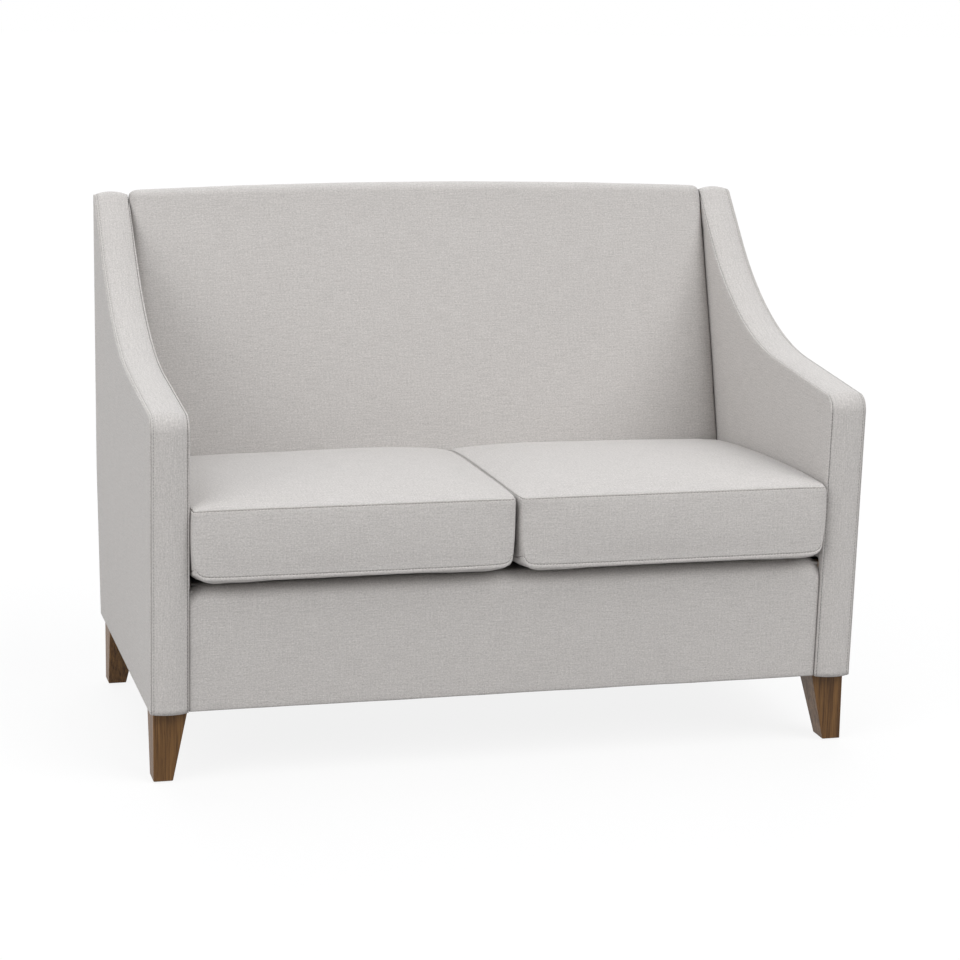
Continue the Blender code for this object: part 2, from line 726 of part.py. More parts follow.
def leg(end, label, side, post):
    """A square leg, straight outside and tapered inside, on a bolt that runs up into its post."""
    out_y = -1 if end == "front" else 1
    face = front_line(BASE_HEIGHT) if end == "front" else back_line(BASE_HEIGHT)
    outer = Vector((side * (WIDTH / 2 - LEG_SIDE_INSET), face - out_y * LEG_END_INSET))
    inwards = Vector((-side, -out_y))
    centre = outer + inwards * Vector(LEG_TOP) / 2
    foot = outer + inwards * Vector(LEG_FOOT) / 2

    bolt_height = 2 * BOLT_REACH
    cutter = bpy.data.objects.new(
        f"bolt_cutter_{end}_{label}",
        cylinder("bolt_cutter", BOLT_DIAMETER + 2 * GAP, bolt_height + 2 * GAP),
    )
    cutter.location = (*centre, BASE_HEIGHT)
    cutter.hide_render = True
    cutter.display_type = "WIRE"
    CUTTERS.objects.link(cutter)
    drill(post, cutter)

    low = GLIDE_HEIGHT + GAP
    bm = bmesh.new()
    bmesh.ops.create_cube(bm, size=1)
    for vert in bm.verts:
        top = vert.co.z > 0
        size, middle = (LEG_TOP, centre) if top else (LEG_FOOT, foot)
        height = BASE_HEIGHT if top else low
        place = middle - centre + vert.co.xy * Vector(size)
        vert.co = (*place, height)
    name = f"leg_{end}_{label}"
    piece = add_object(name, mesh_from(bm, name), WALNUT, None, (*centre, 0))
    edge = piece.modifiers.new("eased_edges", "BEVEL")
    edge.width = LEG_CHAMFER
    edge.segments = 2
    cut(piece, cutter)

    bolt = cylinder(f"leg_bolt_{end}_{label}", BOLT_DIAMETER, bolt_height)
    add_object(bolt.name, bolt, STEEL, None, (*centre, BASE_HEIGHT))
    glide = cylinder(f"leg_glide_{end}_{label}", GLIDE_DIAMETER, GLIDE_HEIGHT)
    add_object(glide.name, glide, NYLON, None, (*foot, GLIDE_HEIGHT / 2))


def dust_cover():
    """The cloth that closes the underside, notched round the legs."""
    x = FRAME_OUTER - DUST_COVER_INSET
    front = front_rail_face(BASE_HEIGHT) + DUST_COVER_INSET / 2
    rear = back_line(BASE_HEIGHT) - OUTSIDE_BACK - DUST_COVER_INSET
    notch_x = WIDTH / 2 - LEG_SIDE_INSET - LEG_TOP[0] - DUST_COVER_NOTCH
    notch_y = LEG_END_INSET + LEG_TOP[1] + DUST_COVER_NOTCH
    notch_front = front_line(BASE_HEIGHT) + notch_y
    notch_rear = back_line(BASE_HEIGHT) - notch_y
    right = [(notch_x, front), (notch_x, notch_front), (x, notch_front)]
    right += [(x, notch_rear), (notch_x, notch_rear), (notch_x, rear)]
    left = [(-px, py) for px, py in right[::-1]]
    cloth = flat_outline("dust_cover", right + left, DUST_COVER)
    add_object(cloth.name, cloth, DUST_CLOTH, None, (0, 0, BASE_HEIGHT - DUST_COVER / 2))


for leftover in list(bpy.data.objects):
    bpy.data.objects.remove(leftover)
SOFA = collection("two_seat_sofa")
CUTTERS = collection("cutters")
CUTTERS.hide_render = True

FABRIC = material("light_grey_weave", (0.60, 0.57, 0.55), 0.92)
DECK_CLOTH = material("deck_cloth", (0.32, 0.30, 0.29), 0.95)
DUST_CLOTH = material("black_dust_cloth", (0.012, 0.012, 0.013), 0.95)
WEBBING = material("elastic_webbing", (0.05, 0.05, 0.05), 0.85)
TIMBER = material("beech_frame", (0.55, 0.38, 0.22), 0.65)
WALNUT = material("walnut_stained_leg", (0.125, 0.072, 0.034), 0.38)
STEEL = material("zinc_plated_steel", (0.55, 0.55, 0.56), 0.35, 1.0)
NYLON = material("black_nylon", (0.02, 0.02, 0.02), 0.5)

for arm_label, arm_side in SIDES.items():
    arm = add_object(f"arm_{arm_label}", None, None, None, (arm_side * ARM_CENTRE, 0, 0))
    arm_upholstery(arm_label, arm_side, arm)
    posts = arm_frame(arm_label, arm_side, arm)
    for leg_end, arm_post in posts.items():
        leg(leg_end, arm_label, arm_side, arm_post)
    cushion(arm_label, arm_side)

back_upholstery()
back_frame()
seat_frame()
seat_springs()
seat_upholstery()
dust_cover()
print(f"pieces: {sum(1 for piece in SOFA.objects if piece.type != 'EMPTY')}")
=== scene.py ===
# %% [markdown]
# # A two-seat sofa with swooped arms
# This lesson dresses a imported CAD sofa: woven upholstery, seams with their stitches, stained legs and
# soft studio light. The CAD pieces come in as a fixed frame. Timber, springs and legs keep their solids and
# get better finishes, while each soft piece is built again here as cloth over padding.

# %% Load the frame
import math

import bmesh
import bpy
import numpy as np
from mathutils import Matrix, Vector, noise
from mathutils.kdtree import KDTree


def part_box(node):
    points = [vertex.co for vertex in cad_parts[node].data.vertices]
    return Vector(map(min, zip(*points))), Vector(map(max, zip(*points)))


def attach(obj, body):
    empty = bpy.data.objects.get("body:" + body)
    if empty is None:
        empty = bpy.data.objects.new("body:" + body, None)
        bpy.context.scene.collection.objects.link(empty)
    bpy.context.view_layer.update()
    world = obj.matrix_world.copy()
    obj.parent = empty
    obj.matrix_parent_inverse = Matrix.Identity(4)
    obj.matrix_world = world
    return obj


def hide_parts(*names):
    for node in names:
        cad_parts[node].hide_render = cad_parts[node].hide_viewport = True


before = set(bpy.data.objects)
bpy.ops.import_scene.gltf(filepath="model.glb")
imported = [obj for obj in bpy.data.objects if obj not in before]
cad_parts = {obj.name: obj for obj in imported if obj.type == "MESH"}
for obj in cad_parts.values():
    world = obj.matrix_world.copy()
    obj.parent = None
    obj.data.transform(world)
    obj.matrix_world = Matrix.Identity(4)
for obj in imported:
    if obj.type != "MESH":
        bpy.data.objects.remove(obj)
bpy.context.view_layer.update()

# %% [markdown]
# ## Camera
# A photograph's camera can be matched by hand with a background picture, or worked out from corners whose
# places on the object are known. Here the second way gave a place, three angles and a lens, and the matrix
# is put together from them, so nothing depends on a target or a constraint.

# %% Camera
CAMERA_PLACE = Vector((-1.24125, -4.75093, 1.46511))
CAMERA_YAW = math.radians(14.98213)
CAMERA_DOWN = math.radians(11.76111)
CAMERA_ROLL = math.radians(0.99237)
LENS_MM = 100.391


def put(name, data):
    """A new object that holds this data, linked to the scene."""
    made = bpy.data.objects.new(name, data)
    bpy.context.scene.collection.objects.link(made)
    return made


ahead = Vector((
    math.sin(CAMERA_YAW) * math.cos(CAMERA_DOWN),
    math.cos(CAMERA_YAW) * math.cos(CAMERA_DOWN),
    -math.sin(CAMERA_DOWN),
))
level = Vector((math.cos(CAMERA_YAW), -math.sin(CAMERA_YAW), 0))
above = level.cross(ahead)
camera_x = level * math.cos(CAMERA_ROLL) + above * math.sin(CAMERA_ROLL)
camera_y = above * math.cos(CAMERA_ROLL) - level * math.sin(CAMERA_ROLL)
turn = Matrix((camera_x, camera_y, -ahead)).transposed().to_4x4()
camera_data = bpy.data.cameras.new("photo_camera")
camera_data.sensor_width = 36
camera_data.lens = LENS_MM
camera = put("photo_camera", camera_data)
camera.matrix_world = Matrix.Translation(CAMERA_PLACE) @ turn
bpy.context.scene.camera = camera
print("camera:", LENS_MM, "mm lens,", round(CAMERA_PLACE.length, 2), "m from the middle of the floor")

# %% [markdown]
# ## Node helpers
# Shader nodes are placed and wired in code. Short helpers keep that readable: they make a node, set its
# properties and fill its inputs, which may be values or other nodes' outputs. Inputs go by name, or by
# number where several share one: a Mix node takes its two colours at 6 and 7 and puts one out at 2.

# %% Node helpers
FLOAT, VECTOR, COLOR = "NodeSocketFloat", "NodeSocketVector", "NodeSocketColor"


def plug(tree, made, inputs):
    """Fills a node's inputs: another node's output is linked, anything else is set as a value."""
    for key, value in inputs.items():
        if isinstance(value, bpy.types.NodeSocket):
            tree.links.new(value, made.inputs[key])
        else:
            made.inputs[key].default_value = value
    return made


def node(tree, kind, inputs=None, **settings):
    """A new shader node with its properties set and its inputs filled."""
    made = tree.nodes.new("ShaderNode" + kind)
    for key, value in settings.items():
        setattr(made, key, value)
    return plug(tree, made, inputs or {})


def maths(tree, operation, first, second=0.0, third=0.0):
    return node(tree, "Math", {0: first, 1: second, 2: third}, operation=operation).outputs[0]


def stretched_noise(tree, place, scales, detail=2.0):
    """Noise from 0 to 1 whose grain is as fine as the three scales say, in features per metre."""
    scaled = node(tree, "VectorMath", {0: place, 1: scales}, operation="MULTIPLY")
    values = {"Vector": scaled.outputs[0], "Scale": 1.0, "Detail": detail, "Roughness": 0.55}
    return node(tree, "TexNoise", values).outputs["Fac"]


def new_group(name, inputs, outputs):
    """An empty shader group with named sockets, its input node and its output node."""
    group = bpy.data.node_groups.new(name, "ShaderNodeTree")
    for direction, sockets in (("INPUT", inputs), ("OUTPUT", outputs)):
        for label, kind in sockets:
            group.interface.new_socket(label, in_out=direction, socket_type=kind)
    return group, group.nodes.new("NodeGroupInput"), group.nodes.new("NodeGroupOutput")


def new_finish(name):
    """A new material, its node tree and its Principled shader."""
    finish = bpy.data.materials.new(name)
    finish.use_nodes = True
    return finish, finish.node_tree, finish.node_tree.nodes["Principled BSDF"]


print("node helpers ready")

# %% [markdown]
# ## Studio
# The sofa stands in a white studio. A bright floor could wash out the fabric, so the lamps stay at a plain
# level and only the camera sees the floor and the sky as white: Light Path tells its rays from the rest.
# The floor adds a little glow to a darker cloth-like surface, and so it still shows the sofa's shadow.

# %% Studio
SKY_LEVEL = 0.06
FLOOR_SIZE = 60.0
FLOOR_BOUNCE = 0.50
FLOOR_SHADOW = 0.11
FLOOR_GLOW = 0.865


def grey(level):
    return level, level, level, 1


def two_faced(tree, lighting, shown, output):
    """One shader lights the sofa, and the camera sees the other, directly or in mirrors and glass."""
    path = node(tree, "LightPath").outputs
    shiny = maths(tree, "MAXIMUM", path["Is Glossy Ray"], path["Is Transmission Ray"])
    seen = maths(tree, "MAXIMUM", path["Is Camera Ray"], shiny)
    mixed = node(tree, "MixShader", {0: seen, 1: lighting.outputs[0], 2: shown.outputs[0]})
    node(tree, output, {"Surface": mixed.outputs[0]})


world = bpy.data.worlds.new("white_studio")
bpy.context.scene.world = world
world.use_nodes = True
sky = world.node_tree
sky.nodes.clear()
lit = node(sky, "Background", {"Color": grey(1), "Strength": SKY_LEVEL})
white = node(sky, "Background", {"Color": grey(1)})
two_faced(sky, lit, white, "OutputWorld")

floor_finish = bpy.data.materials.new("studio_floor")
floor_finish.use_nodes = True
tree = floor_finish.node_tree
tree.nodes.clear()
bounce = node(tree, "BsdfDiffuse", {"Color": grey(FLOOR_BOUNCE)})
shade = node(tree, "BsdfDiffuse", {"Color": grey(FLOOR_SHADOW)})
glow = node(tree, "Emission", {"Strength": FLOOR_GLOW})
shown = node(tree, "AddShader", {0: shade.outputs[0], 1: glow.outputs[0]})
two_faced(tree, bounce, shown, "OutputMaterial")

floor_mesh = bpy.data.meshes.new("studio_floor")
half_floor = FLOOR_SIZE / 2
corner_places = [(x * half_floor, y * half_floor, 0) for x, y in ((-1, -1), (1, -1), (1, 1), (-1, 1))]
floor_mesh.from_pydata(corner_places, [], [(0, 1, 2, 3)])
floor_mesh.materials.append(floor_finish)
floor = put("studio_floor", floor_mesh)
bpy.context.scene.view_settings.view_transform = "Standard"
print("studio: sky", SKY_LEVEL, "floor", FLOOR_SIZE, "m")

# %% [markdown]
# ## Lamps
# Furniture pictures are lit by big soft boxes. Area lamps close by would be brighter at one end of the sofa
# and leave the far floor grey, so sun lamps with a wide angle stand in for them: the light is even and its
# shadows stay soft. The main one is high in front on the right, two weaker ones come from the left, two hang
# overhead and one fills the outside back, so that every side can be looked at.

# %% Lamps
LAMP_ANGLE = math.radians(50)
LAMPS = {
    "front_right_light": {"towards": (0.5, -0.5, 0.7), "strength": 2.15, "color": (1.0, 1.0, 1.0)},
    "front_left_light": {"towards": (-0.5, -0.5, 0.7), "strength": 0.7, "color": (1.0, 1.0, 1.0)},
    "left_fill_light": {"towards": (-0.87, -0.40, 0.24), "strength": 1.12, "color": (1.02, 1.0, 0.98)},
    "left_top_light": {"towards": (-0.6, -0.1, 0.8), "strength": 0.5, "color": (0.97, 1.0, 1.03)},
    "back_top_light": {"towards": (0.0, 0.5, 0.86), "strength": 1.2, "color": (0.97, 1.0, 1.03)},
    "back_fill_light": {"towards": (0.15, 0.9, 0.32), "strength": 1.2, "color": (1.0, 1.0, 1.0)},
}


def soft_light(name, towards, strength, color):
    lamp = bpy.data.lights.new(name, "SUN")
    lamp.angle = LAMP_ANGLE
    lamp.energy = strength
    lamp.color = color
    put(name, lamp).rotation_euler = Vector(towards).to_track_quat("Z", "Y").to_euler()


for lamp_name, lamp_values in LAMPS.items():
    soft_light(lamp_name, **lamp_values)
print("lamps:", len(LAMPS), "wide suns")

# %% [markdown]
# ## Weave
# The cover is a plain linen-like weave. Its threads are thinner than a picture's pixel, but thick places in
# the yarn, called slubs, show as short streaks along and across. An image texture could carry that; here a
# group of noises is stretched along each thread direction, so the cloth stays sharp from any distance.
# Each panel carries its own flat coordinates in metres, as if cut from the bolt.

# %% Weave
WEAVE_INPUTS = [("Panel", VECTOR), ("Yarn", COLOR), ("Slub", FLOAT), ("Thread", FLOAT)]
WEAVE_OUTPUTS = [("Color", COLOR), ("Height", FLOAT), ("Roughness", FLOAT)]
weave, weave_in, weave_out = new_group("cloth_weave", WEAVE_INPUTS, WEAVE_OUTPUTS)
SLUB_GRAIN = {"across": (26, 520, 1), "along": (520, 24, 1)}
YARN_GRAIN = {"across": (240, 420, 1), "along": (480, 340, 1)}
HANDLING_GRAIN, HANDLING_TONE = (9, 9, 1), 0.025
SLUB_ALONG, SLUB_IN_YARN = 0.6, 0.6
THREAD_TONE, THREAD_RELIEF, SLUB_RELIEF = 0.02, 0.22, 0.9
CLOTH_ROUGHNESS, SLUB_ROUGHNESS = 0.9, -0.15
panel = weave_in.outputs["Panel"]
across_slub, along_slub = (stretched_noise(weave, panel, SLUB_GRAIN[way], 1.0) for way in SLUB_GRAIN)
across_yarn, along_yarn = (stretched_noise(weave, panel, YARN_GRAIN[way], 1.0) for way in YARN_GRAIN)
handling = stretched_noise(weave, panel, HANDLING_GRAIN, 3.0)

parts = node(weave, "SeparateXYZ", {0: panel})
pitch = maths(weave, "DIVIDE", math.pi, weave_in.outputs["Thread"])
warp = maths(weave, "SINE", maths(weave, "MULTIPLY", parts.outputs[0], pitch))
weft = maths(weave, "SINE", maths(weave, "MULTIPLY", parts.outputs[1], pitch))
over_under = maths(weave, "MULTIPLY", warp, weft)

slubs = maths(weave, "MULTIPLY_ADD", along_slub, SLUB_ALONG, across_slub)
slubs = maths(weave, "SUBTRACT", slubs, 0.5 + 0.5 * SLUB_ALONG)
yarns = maths(weave, "SUBTRACT", maths(weave, "ADD", across_yarn, along_yarn), 1.0)
mottle = maths(weave, "MULTIPLY_ADD", slubs, SLUB_IN_YARN, yarns)
tone = maths(weave, "MULTIPLY_ADD", mottle, weave_in.outputs["Slub"], 1.0)
tone = maths(weave, "MULTIPLY_ADD", maths(weave, "SUBTRACT", handling, 0.5), HANDLING_TONE, tone)
tone = maths(weave, "MULTIPLY_ADD", over_under, THREAD_TONE, tone)
tinted = node(weave, "VectorMath", {0: weave_in.outputs["Yarn"], "Scale": tone}, operation="SCALE")
relief = maths(weave, "MULTIPLY_ADD", over_under, THREAD_RELIEF, 0.5)
relief = maths(weave, "MULTIPLY_ADD", mottle, SLUB_RELIEF, relief)
rough = maths(weave, "MULTIPLY_ADD", mottle, SLUB_ROUGHNESS, CLOTH_ROUGHNESS)
plug(weave, weave_out, {"Color": tinted.outputs[0], "Height": relief, "Roughness": rough})
print("weave group:", len(weave.nodes), "nodes")

# %% [markdown]
# ## Cloth finishes
# Five cloths use the weave: the cover, the plainer deck cloth under the cushions, the thin black dust cloth
# below, the thread of the stitches and the webbing of the straps. The thread is darker than the cover,
# partly as painted shade that darkens the line of each seam groove. The cover also has a little sheen, as
# short fibres catch light at grazing angles.

# %% Cloth finishes
PANEL_UV = "panel"
CLOTH_BUMP = 0.6


def cloth_finish(name, yarn, slub, thread, relief_mm, sheen):
    finish, tree, shader = new_finish(name)
    place = node(tree, "UVMap", uv_map=PANEL_UV).outputs["UV"]
    values = {"Panel": place, "Yarn": (*yarn, 1), "Slub": slub, "Thread": thread}
    woven = node(tree, "Group", values, node_tree=weave).outputs
    bump = {"Strength": CLOTH_BUMP, "Distance": relief_mm / 1000, "Height": woven["Height"]}
    plug(tree, shader, {
        "Base Color": woven["Color"],
        "Roughness": woven["Roughness"],
        "Normal": node(tree, "Bump", bump).outputs["Normal"],
        "Sheen Weight": sheen,
        "Sheen Roughness": 0.5,
        "Specular IOR Level": 0.2,
    })
    return finish


cover_cloth = cloth_finish("light_grey_cover", (0.500, 0.480, 0.466), 0.46, 0.0009, 0.30, 0.08)
deck_cloth = cloth_finish("plain_deck_cloth", (0.33, 0.31, 0.30), 0.15, 0.0007, 0.2, 0.05)
dust_cloth = cloth_finish("thin_black_dust_cloth", (0.014, 0.014, 0.015), 0.3, 0.0006, 0.1, 0.0)
# The thread's dark tone is partly painted shade: it darkens the seam lines where the grooves lie in shade.
shade_darkened_thread = cloth_finish("shade_darkened_thread", (0.25, 0.239, 0.229), 0.2, 0.0004, 0.1, 0.05)
webbing_cloth = cloth_finish("strap_webbing", (0.05, 0.05, 0.05), 0.4, 0.0012, 0.3, 0.0)
print("cloths:", *[c.name for c in (cover_cloth, deck_cloth, dust_cloth, shade_darkened_thread, webbing_cloth)])

# %% [markdown]
# ## Wood grain
# The legs are stained walnut-brown and the hidden frame is pale beech. In both, grain runs along the board.
# A noise stretched a long way in one direction gives the bands, and finer ones the lines and the pores. The
# object's own coordinates place them, since sawn parts show grain that runs right through.

# %% Wood grain
WOOD_INPUTS = [("Place", VECTOR), ("Pale", COLOR), ("Dark", COLOR), ("Band", FLOAT)]
WOOD_OUTPUTS = [("Color", COLOR), ("Height", FLOAT), ("Roughness", FLOAT)]
grain, grain_in, grain_out = new_group("wood_grain", WOOD_INPUTS, WOOD_OUTPUTS)
spot = grain_in.outputs["Place"]
BAND_GRAIN, LINE_GRAIN, PORE_GRAIN = (120, 120, 5), (420, 420, 9), (1500, 1500, 40)
BAND_CONTRAST = 1.5
PORE_FROM, PORE_FULL, PORE_DARK = 0.58, 0.72, 0.35
WOOD_ROUGHNESS, PALE_ROUGHNESS = 0.5, -0.12
bands = stretched_noise(grain, spot, BAND_GRAIN, 4.0)
lines = stretched_noise(grain, spot, LINE_GRAIN, 3.0)
pores = stretched_noise(grain, spot, PORE_GRAIN, 1.0)
figure = maths(grain, "MULTIPLY_ADD", maths(grain, "SUBTRACT", bands, 0.5), BAND_CONTRAST, 0.5)
figure = maths(grain, "MULTIPLY_ADD", maths(grain, "SUBTRACT", lines, 0.5), grain_in.outputs["Band"], figure)
pore = node(grain, "MapRange", {0: pores, 1: PORE_FROM, 2: PORE_FULL, 3: 0.0, 4: PORE_DARK}).outputs[0]
darker = node(grain, "Math", {0: figure, 1: pore}, operation="SUBTRACT", use_clamp=True).outputs[0]
stains = {0: darker, 6: grain_in.outputs["Dark"], 7: grain_in.outputs["Pale"]}
stain = node(grain, "Mix", stains, data_type="RGBA").outputs[2]
rough = maths(grain, "MULTIPLY_ADD", darker, PALE_ROUGHNESS, WOOD_ROUGHNESS)
plug(grain, grain_out, {"Color": stain, "Height": darker, "Roughness": rough})


def wood_finish(name, pale, dark, band):
    finish, tree, shader = new_finish(name)
    place = node(tree, "TexCoord").outputs["Object"]
    values = {"Place": place, "Pale": (*pale, 1), "Dark": (*dark, 1), "Band": band}
    board = node(tree, "Group", values, node_tree=grain).outputs
    bump = {"Strength": 0.35, "Distance": 0.0003, "Height": board["Height"]}
    plug(tree, shader, {
        "Base Color": board["Color"],
        "Roughness": board["Roughness"],
        "Normal": node(tree, "Bump", bump).outputs["Normal"],
        "Specular IOR Level": 0.3,
    })
    return finish


walnut = wood_finish("walnut_stained_wood", (0.190, 0.095, 0.030), (0.046, 0.019, 0.005), 2.0)
beech = wood_finish("pale_beech_wood", (0.62, 0.45, 0.28), (0.46, 0.30, 0.16), 0.7)
print("woods:", walnut.name, beech.name)

# %% [markdown]
# ## Metal and nylon
# Springs and bolts are zinc-plated wire and rod, and the glides are black nylon discs. Small parts still get
# a little unevenness: plating is cloudy, and nylon that slides on floors is scuffed.

# %% Metal and nylon
DULL, BRIGHT = 0.8, 1.15


def worn_finish(name, color, metallic, rough_low, rough_high, scale):
    finish, tree, shader = new_finish(name)
    place = node(tree, "TexCoord").outputs["Object"]
    cloud = stretched_noise(tree, place, (scale, scale, scale), 4.0)
    worn = node(tree, "MapRange", {0: cloud, 1: 0.3, 2: 0.7, 3: rough_low, 4: rough_high})
    dull, bright = ((*[c * share for c in color], 1) for share in (DULL, BRIGHT))
    tint = node(tree, "Mix", {0: cloud, 6: dull, 7: bright}, data_type="RGBA")
    plug(tree, shader, {"Base Color": tint.outputs[2], "Roughness": worn.outputs[0], "Metallic": metallic})
    return finish


zinc = worn_finish("zinc_plate", (0.55, 0.55, 0.56), 1.0, 0.28, 0.5, 90)
nylon = worn_finish("scuffed_nylon", (0.02, 0.02, 0.021), 0.0, 0.4, 0.65, 400)
CARRIED = {
    "light_grey_weave": cover_cloth,
    "deck_cloth": deck_cloth,
    "black_dust_cloth": dust_cloth,
    "elastic_webbing": webbing_cloth,
    "beech_frame": beech,
    "walnut_stained_leg": walnut,
    "zinc_plated_steel": zinc,
    "black_nylon": nylon,
}
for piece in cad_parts.values():
    for place in piece.material_slots:
        place.material = CARRIED[place.material.name.split(".")[0]]
print("finishes on", len(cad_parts), "carried pieces")

# %% [markdown]
# ## Sizes shared with the frame
# Upholstery follows lines that several pieces share: the arm's outline from the side, the recline of the
# back and the slope of the seat. They repeat the CAD model's values, in metres, so each soft piece lies
# where its solid does. Drawing by eye over the solids would leave gaps in other views.

# %% Sizes shared with the frame
WIDTH, DEPTH, BASE = 1.284, 0.770, 0.127
GAP = 0.0003
ARM_WIDTH, ARM_FRONT, ARM_BACK = 0.066, 0.648, 0.945
ARM_TOP_Y, ARM_LEAN, ARM_FLAT_Y = -0.379, 0.024, 0.372
ARM_SLOPE, SWOOP = math.radians(5), math.radians(46)
SWOOP_RADIUS, ARM_CORNER = 0.600, 0.028
KICK, KICK_HEIGHT = 0.040, 0.415
BACK_TOP, SEAT_HEIGHT, SEAT_REAR_Y = 0.965, 0.462, 0.1805
BACK_THICK = {"seat": 0.2045, "top": 0.037}
POST_THICK = {"seat": 0.118, "top": 0.018}
POST_FRONT = 0.024
BACK_SLOPE = (BACK_THICK["seat"] - BACK_THICK["top"]) / (BACK_TOP - SEAT_HEIGHT)
FRAME_SLOPE = (POST_THICK["seat"] - POST_THICK["top"]) / (ARM_BACK - SEAT_HEIGHT)
SEAT_FRONT, SEAT_PITCH = 0.350, math.radians(2.35)
INNER_X = WIDTH / 2 - ARM_WIDTH
SIDES = {"left": -1, "right": 1}


def front_line(z):
    return ARM_TOP_Y + ARM_LEAN * (1 - (z - BASE) / (ARM_FRONT - BASE))


def back_line(z):
    return DEPTH / 2 - KICK * max(0.0, (KICK_HEIGHT - z) / (KICK_HEIGHT - BASE))


def inside_back(z):
    return SEAT_REAR_Y + BACK_SLOPE * (z - SEAT_HEIGHT)


def frame_line(z):
    return DEPTH / 2 - POST_FRONT - FRAME_SLOPE * (ARM_BACK - z)


def deck_line(y):
    return SEAT_FRONT - math.tan(SEAT_PITCH) * (y - front_line(SEAT_FRONT))


def swoop_corner():
    steep, shallow = math.tan(SWOOP), math.tan(ARM_SLOPE)
    y = (steep * ARM_FLAT_Y - shallow * ARM_TOP_Y - (ARM_BACK - ARM_FRONT)) / (steep - shallow)
    return y, ARM_FRONT + shallow * (y - ARM_TOP_Y)


def arm_tip():
    """Where the steep line of the arm meets the front of the back posts."""
    y, z = swoop_corner()
    tip_z = (z - math.tan(SWOOP) * (y - frame_line(0))) / (1 - math.tan(SWOOP) * FRAME_SLOPE)
    return frame_line(tip_z), tip_z


print("swoop corner", [round(v, 3) for v in swoop_corner()], "tip", [round(v, 3) for v in arm_tip()])

# %% [markdown]
# ## Outlines
# An upholsterer cuts panels from a pattern: a polygon with some corners rounded. This helper rounds the
# corners, moves edges inwards and spreads points evenly along the straights, always with the same count, so
# that several insets of one pattern can be joined into strips of quads.

# %% Outlines
LEAST_RADIUS = 0.0008


def outline(corners, insets, arcs):
    """Points of an anticlockwise polygon, grouped by corner. An arc is (radius, steps) or None."""
    edges = []
    for i, corner in enumerate(corners):
        start = Vector(corner)
        along = (Vector(corners[(i + 1) % len(corners)]) - start).normalized()
        edges.append((start + Vector((-along.y, along.x)) * insets[i], along))
    groups = []
    for i, arc in enumerate(arcs):
        (start_in, along_in), (start_out, along_out) = edges[i - 1], edges[i]
        sine = along_in.cross(along_out)
        corner = start_in + along_in * ((start_out - start_in).cross(along_out) / sine)
        if arc is None:
            groups.append([corner])
            continue
        radius, steps = arc
        side = math.copysign(1, sine)
        radius = max(radius - side * (insets[i - 1] + insets[i]) / 2, LEAST_RADIUS)
        bend = math.atan2(sine, along_in.dot(along_out))
        begin = corner - along_in * radius * math.tan(abs(bend) / 2)
        centre = begin + Vector((-along_in.y, along_in.x)) * side * radius
        spoke = begin - centre
        groups.append([centre + Matrix.Rotation(bend * k / steps, 2) @ spoke for k in range(steps + 1)])
    return groups


def spread(groups, counts, closed=True):
    """All points in order, with the straight after each corner cut into counts[i] equal parts."""
    points = []
    for i, group in enumerate(groups):
        points += group
        if i + 1 == len(groups) and not closed:
            break
        start, end = group[-1], groups[(i + 1) % len(groups)][0]
        points += [start.lerp(end, k / counts[i]) for k in range(1, counts[i])]
    return points


def straight_counts(groups, step):
    following = groups[1:] + groups[:1]
    gaps = [(after[0] - before[-1]).length for before, after in zip(groups, following)]
    return [max(1, round(gap / step)) for gap in gaps]


print("outline helpers ready")

# %% [markdown]
# ## Mesh helpers
# A sweep of sections becomes a mesh of quads with closed ends, so every piece is one closed body. Panel
# coordinates are lengths along and across the sweep. A touch of noise along the normals keeps wide cloth
# from looking machined.

# %% Mesh helpers


def add_piece(name, bm, finish):
    bmesh.ops.recalc_face_normals(bm, faces=bm.faces)
    mesh = bpy.data.meshes.new(name)
    bm.to_mesh(mesh)
    bm.free()
    mesh.materials.append(finish)
    mesh.shade_smooth()
    return put(name, mesh)


def lay_flat(faces, uv, spot):
    """Panel coordinates from where each corner is: spot(point) gives the two of them."""
    for face in faces:
        for loop in face.loops:
            loop[uv].uv = spot(loop.vert.co)


def cut_across(bm, geometry, axis, place):
    """Cuts geometry where its coordinate along the axis has this value, and returns all its parts."""
    normal = Vector((0, 0, 0))
    normal[axis] = 1
    return bmesh.ops.bisect_plane(bm, geom=geometry, plane_co=normal * place, plane_no=normal)["geom"]


def sweep(name, rows, finish, along=None):
    """A closed mesh through closed sections, rows[station][point], with panel coordinates in metres."""
    rows = np.asarray(rows, float)
    stations, count = rows.shape[:2]
    if along is None:
        steps = np.linalg.norm(np.diff(rows[:, count // 4], axis=0), axis=1)
        along = np.concatenate([[0], np.cumsum(steps)])
    ring = np.vstack([rows[stations // 2], rows[stations // 2][:1]])
    across = np.concatenate([[0], np.cumsum(np.linalg.norm(np.diff(ring, axis=0), axis=1))])
    bm = bmesh.new()
    uv = bm.loops.layers.uv.new(PANEL_UV)
    grid = [[bm.verts.new(point) for point in row] for row in rows]
    for i in range(stations - 1):
        for j in range(count):
            k = (j + 1) % count
            face = bm.faces.new((grid[i][j], grid[i + 1][j], grid[i + 1][k], grid[i][k]))
            spots = ((i, j), (i + 1, j), (i + 1, j + 1), (i, j + 1))
            for loop, (a, b) in zip(face.loops, spots):
                loop[uv].uv = (along[a], across[b])
    lay_flat([bm.faces.new(end) for end in (grid[0], grid[-1])], uv, lambda point: point.yz)
    return add_piece(name, bm, finish)


def ruffle(piece, depth, size, seed):
    """Moves points along their normals by soft noise."""
    mesh = piece.data
    normals = [normal.vector.copy() for normal in mesh.vertex_normals]
    for vert, normal in zip(mesh.vertices, normals):
        vert.co += normal * depth * noise.noise(vert.co / size + Vector((seed, 0.37, 0.71)))
    mesh.update()


def dress(piece, nodes=(), body="sofa_frame"):
    """Hangs a soft piece on the body that carries it and hides the CAD nodes that it stands for."""
    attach(piece, body)
    if nodes:
        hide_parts(*nodes)
    return piece


